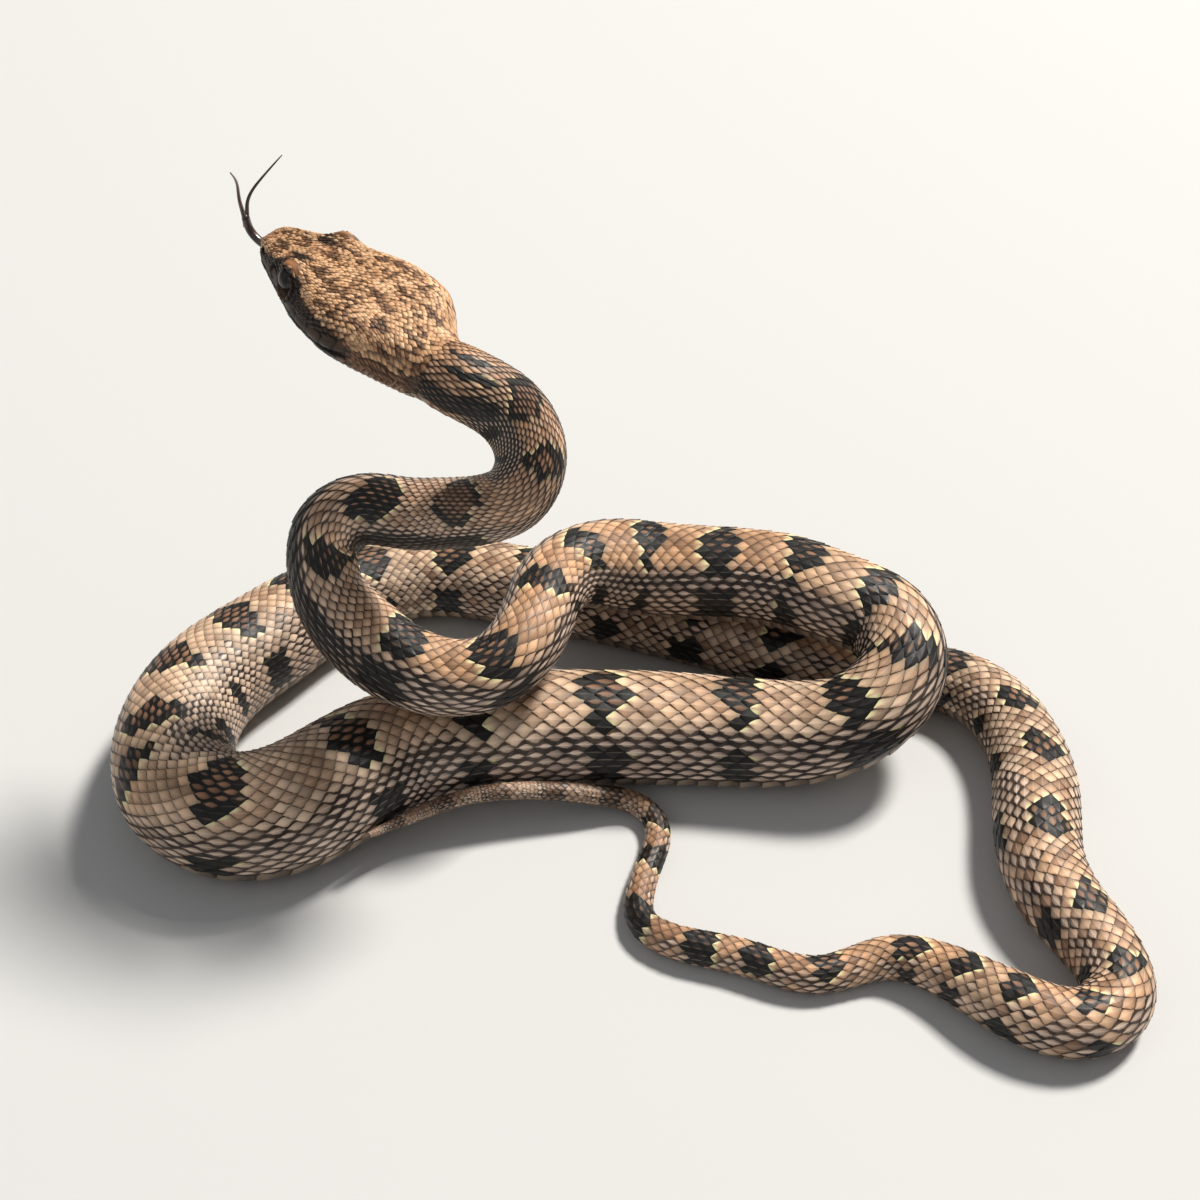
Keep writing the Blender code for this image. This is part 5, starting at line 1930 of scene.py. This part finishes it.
@dataclass(frozen=True)
class Studio:
    """Pale floor, soft lamps and the camera."""

    floor_half: float = 1.6
    floor_colour: Colour = (0.66, 0.66, 0.65, 1.0)
    surroundings: Colour = (0.95, 0.97, 1.0, 1.0)
    surroundings_light: float = 0.22
    key: Lamp = Lamp("key_lamp", (1.05, 0.98, 1.93), 0.46, 80.0, (1.0, 0.965, 0.91))
    fill: Lamp = Lamp("fill_lamp", (-0.5, -0.45, 0.5), 0.8, 0.65, (0.93, 0.96, 1.0))
    eye: tuple = (-1.44, -215.53, 228.80)
    target: tuple = (-1.44, 25.25, 12.0)
    lens: float = 72.0

    def floor(self) -> None:
        """A plain pale floor at height 0."""
        half = self.floor_half
        corners = np.array([(-half, -half, 0), (half, -half, 0), (half, half, 0), (-half, half, 0)]) / MM
        mesh = add_mesh("floor", corners, np.arange(4), np.array([4]))
        _, shader, finish = new_finish("floor_paper", 0.9, Specular_IOR_Level=0.1)
        shader.inputs["Base Color"].default_value = self.floor_colour
        mesh.materials.append(finish)
        floor = bpy.data.objects.new("floor", mesh)
        bpy.context.scene.collection.objects.link(floor)

    def light(self, lamp: Lamp) -> None:
        """Puts a lamp into the scene."""
        light = bpy.data.lights.new(lamp.name, "AREA")
        light.size, light.energy, light.color = lamp.size, lamp.power, lamp.colour
        self.put(lamp.name, light, np.array(lamp.place), np.zeros(3))

    @staticmethod
    def put(name: str, data: bpy.types.ID, place: Array, target: Array) -> bpy.types.Object:
        """Puts a lamp or camera at a place, looking at a target with world up kept upright.

        Args:
            name: the object's name.
            data: the lamp or camera.
            place: where it stands, in metres.
            target: what it looks at, in metres.

        Returns:
            The object.
        """
        back = (place - target) / np.linalg.norm(place - target)
        right = np.cross((0.0, 0.0, 1.0), back)
        right /= np.linalg.norm(right)
        up = np.cross(back, right)
        made = bpy.data.objects.new(name, data)
        made.matrix_world = Matrix([(right[k], up[k], back[k], place[k]) for k in range(3)]
                                   + [(0.0, 0.0, 0.0, 1.0)])
        bpy.context.scene.collection.objects.link(made)
        return made

    def build(self) -> None:
        """Sets up floor, lamps, pale surroundings and the camera."""
        bpy.context.scene.view_settings.view_transform = "Standard"
        self.floor()
        self.light(self.key)
        self.light(self.fill)
        world = bpy.data.worlds.new("studio")
        world.use_nodes = True
        background = world.node_tree.nodes["Background"]
        background.inputs["Color"].default_value = self.surroundings
        background.inputs["Strength"].default_value = self.surroundings_light
        bpy.context.scene.world = world
        lens = bpy.data.cameras.new("camera")
        lens.lens, lens.sensor_width = self.lens, 36.0
        lens.clip_start, lens.clip_end = 0.01, 10.0
        bpy.context.scene.camera = self.put("camera", lens, np.array(self.eye) * MM,
                                            np.array(self.target) * MM)


SCALE_PIECES = [
    ("tail_scales", 0.0, 128.0, "tail_skin"),
    ("rear_trunk_scales", 128.0, 224.0, "trunk_skin"),
    ("back_trunk_scales", 224.0, 298.0, "trunk_skin"),
    ("middle_trunk_scales", 298.0, 372.0, "trunk_skin"),
    ("front_trunk_scales", 372.0, 458.0, "trunk_skin"),
    ("neck_base_scales", 458.0, 532.0, "neck_skin"),
    ("neck_scales", 532.0, None, "neck_skin"),
]
FLESH = [
    "tail_tip", "tail_middle", "tail_base", *(f"trunk_{number:02d}" for number in range(1, 13)),
    "neck_base", "neck_middle", "neck_front", "head", "lower_jaw",
]


def main() -> None:
    """Builds the skin, the coat of scales, the eyes and tongue, and the studio, in that order."""
    logging.basicConfig(level=logging.INFO, format="%(message)s")
    form = Form(Head())
    coat = Coat(form)
    markings = Markings(coat)
    finish = ViperFinish()
    group = finish.markings()
    body_finish, head_finish, brow_finish, shield_finish = (
        finish.scales(group, look) for look in (BODY_LOOK, HEAD_LOOK, BROW_LOOK, SHIELD_LOOK))
    skin = add_piece(Skin(coat, markings).build(), finish.skin(group))
    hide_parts(*FLESH)

    scales = Scales(coat)
    for seed, (name, start, end, slot) in enumerate(SCALE_PIECES):
        draw = np.random.default_rng(seed + 11)
        plates = scales.dorsal(start, end or form.length, Lie.KEELED, draw)
        add_piece(plates.build(name, coat, markings, draw), body_finish)
    draw = np.random.default_rng(31)
    crown = scales.dorsal(form.length, form.total, Lie.GRANULAR, draw)
    add_piece(crown.build("head_scales", coat, markings, draw), head_finish)
    throat = scales.throat(draw)
    add_piece(throat.build("throat_scales", coat, markings, draw), head_finish)

    shields = Shields(coat)
    for name, plates, plate_finish, slot in (
            ("tail_plates", shields.belly(2.0, 94.0, (-1.0, 1.0)), shield_finish, "tail_skin"),
            ("belly_plates", shields.belly(94.0, form.length + 3.0, (0.0,)), shield_finish, "trunk_skin"),
            ("upper_lip_plates", shields.lips(lower=False), shield_finish, "head_skin"),
            ("lower_lip_plates", shields.lips(lower=True), shield_finish, "jaw_skin"),
            ("brow_shields", shields.brows(), brow_finish, "head_skin"),
            ("eye_rings", shields.eye_rings(), shield_finish, "head_skin")):
        add_piece(plates.build(name, coat, markings, draw), plate_finish)

    eye_finish = EyeFinish().build()
    for name, side in (("eye_left", -1.0), ("eye_right", 1.0)):
        ball = add_piece(Eye(form, side).build(name + "_ball"), eye_finish)
        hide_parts(name)
    tongue = add_piece(Tongue(form).build(), TongueFinish().build())
    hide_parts("tongue")
    Studio().build()


if __name__ == "__main__":
    main()
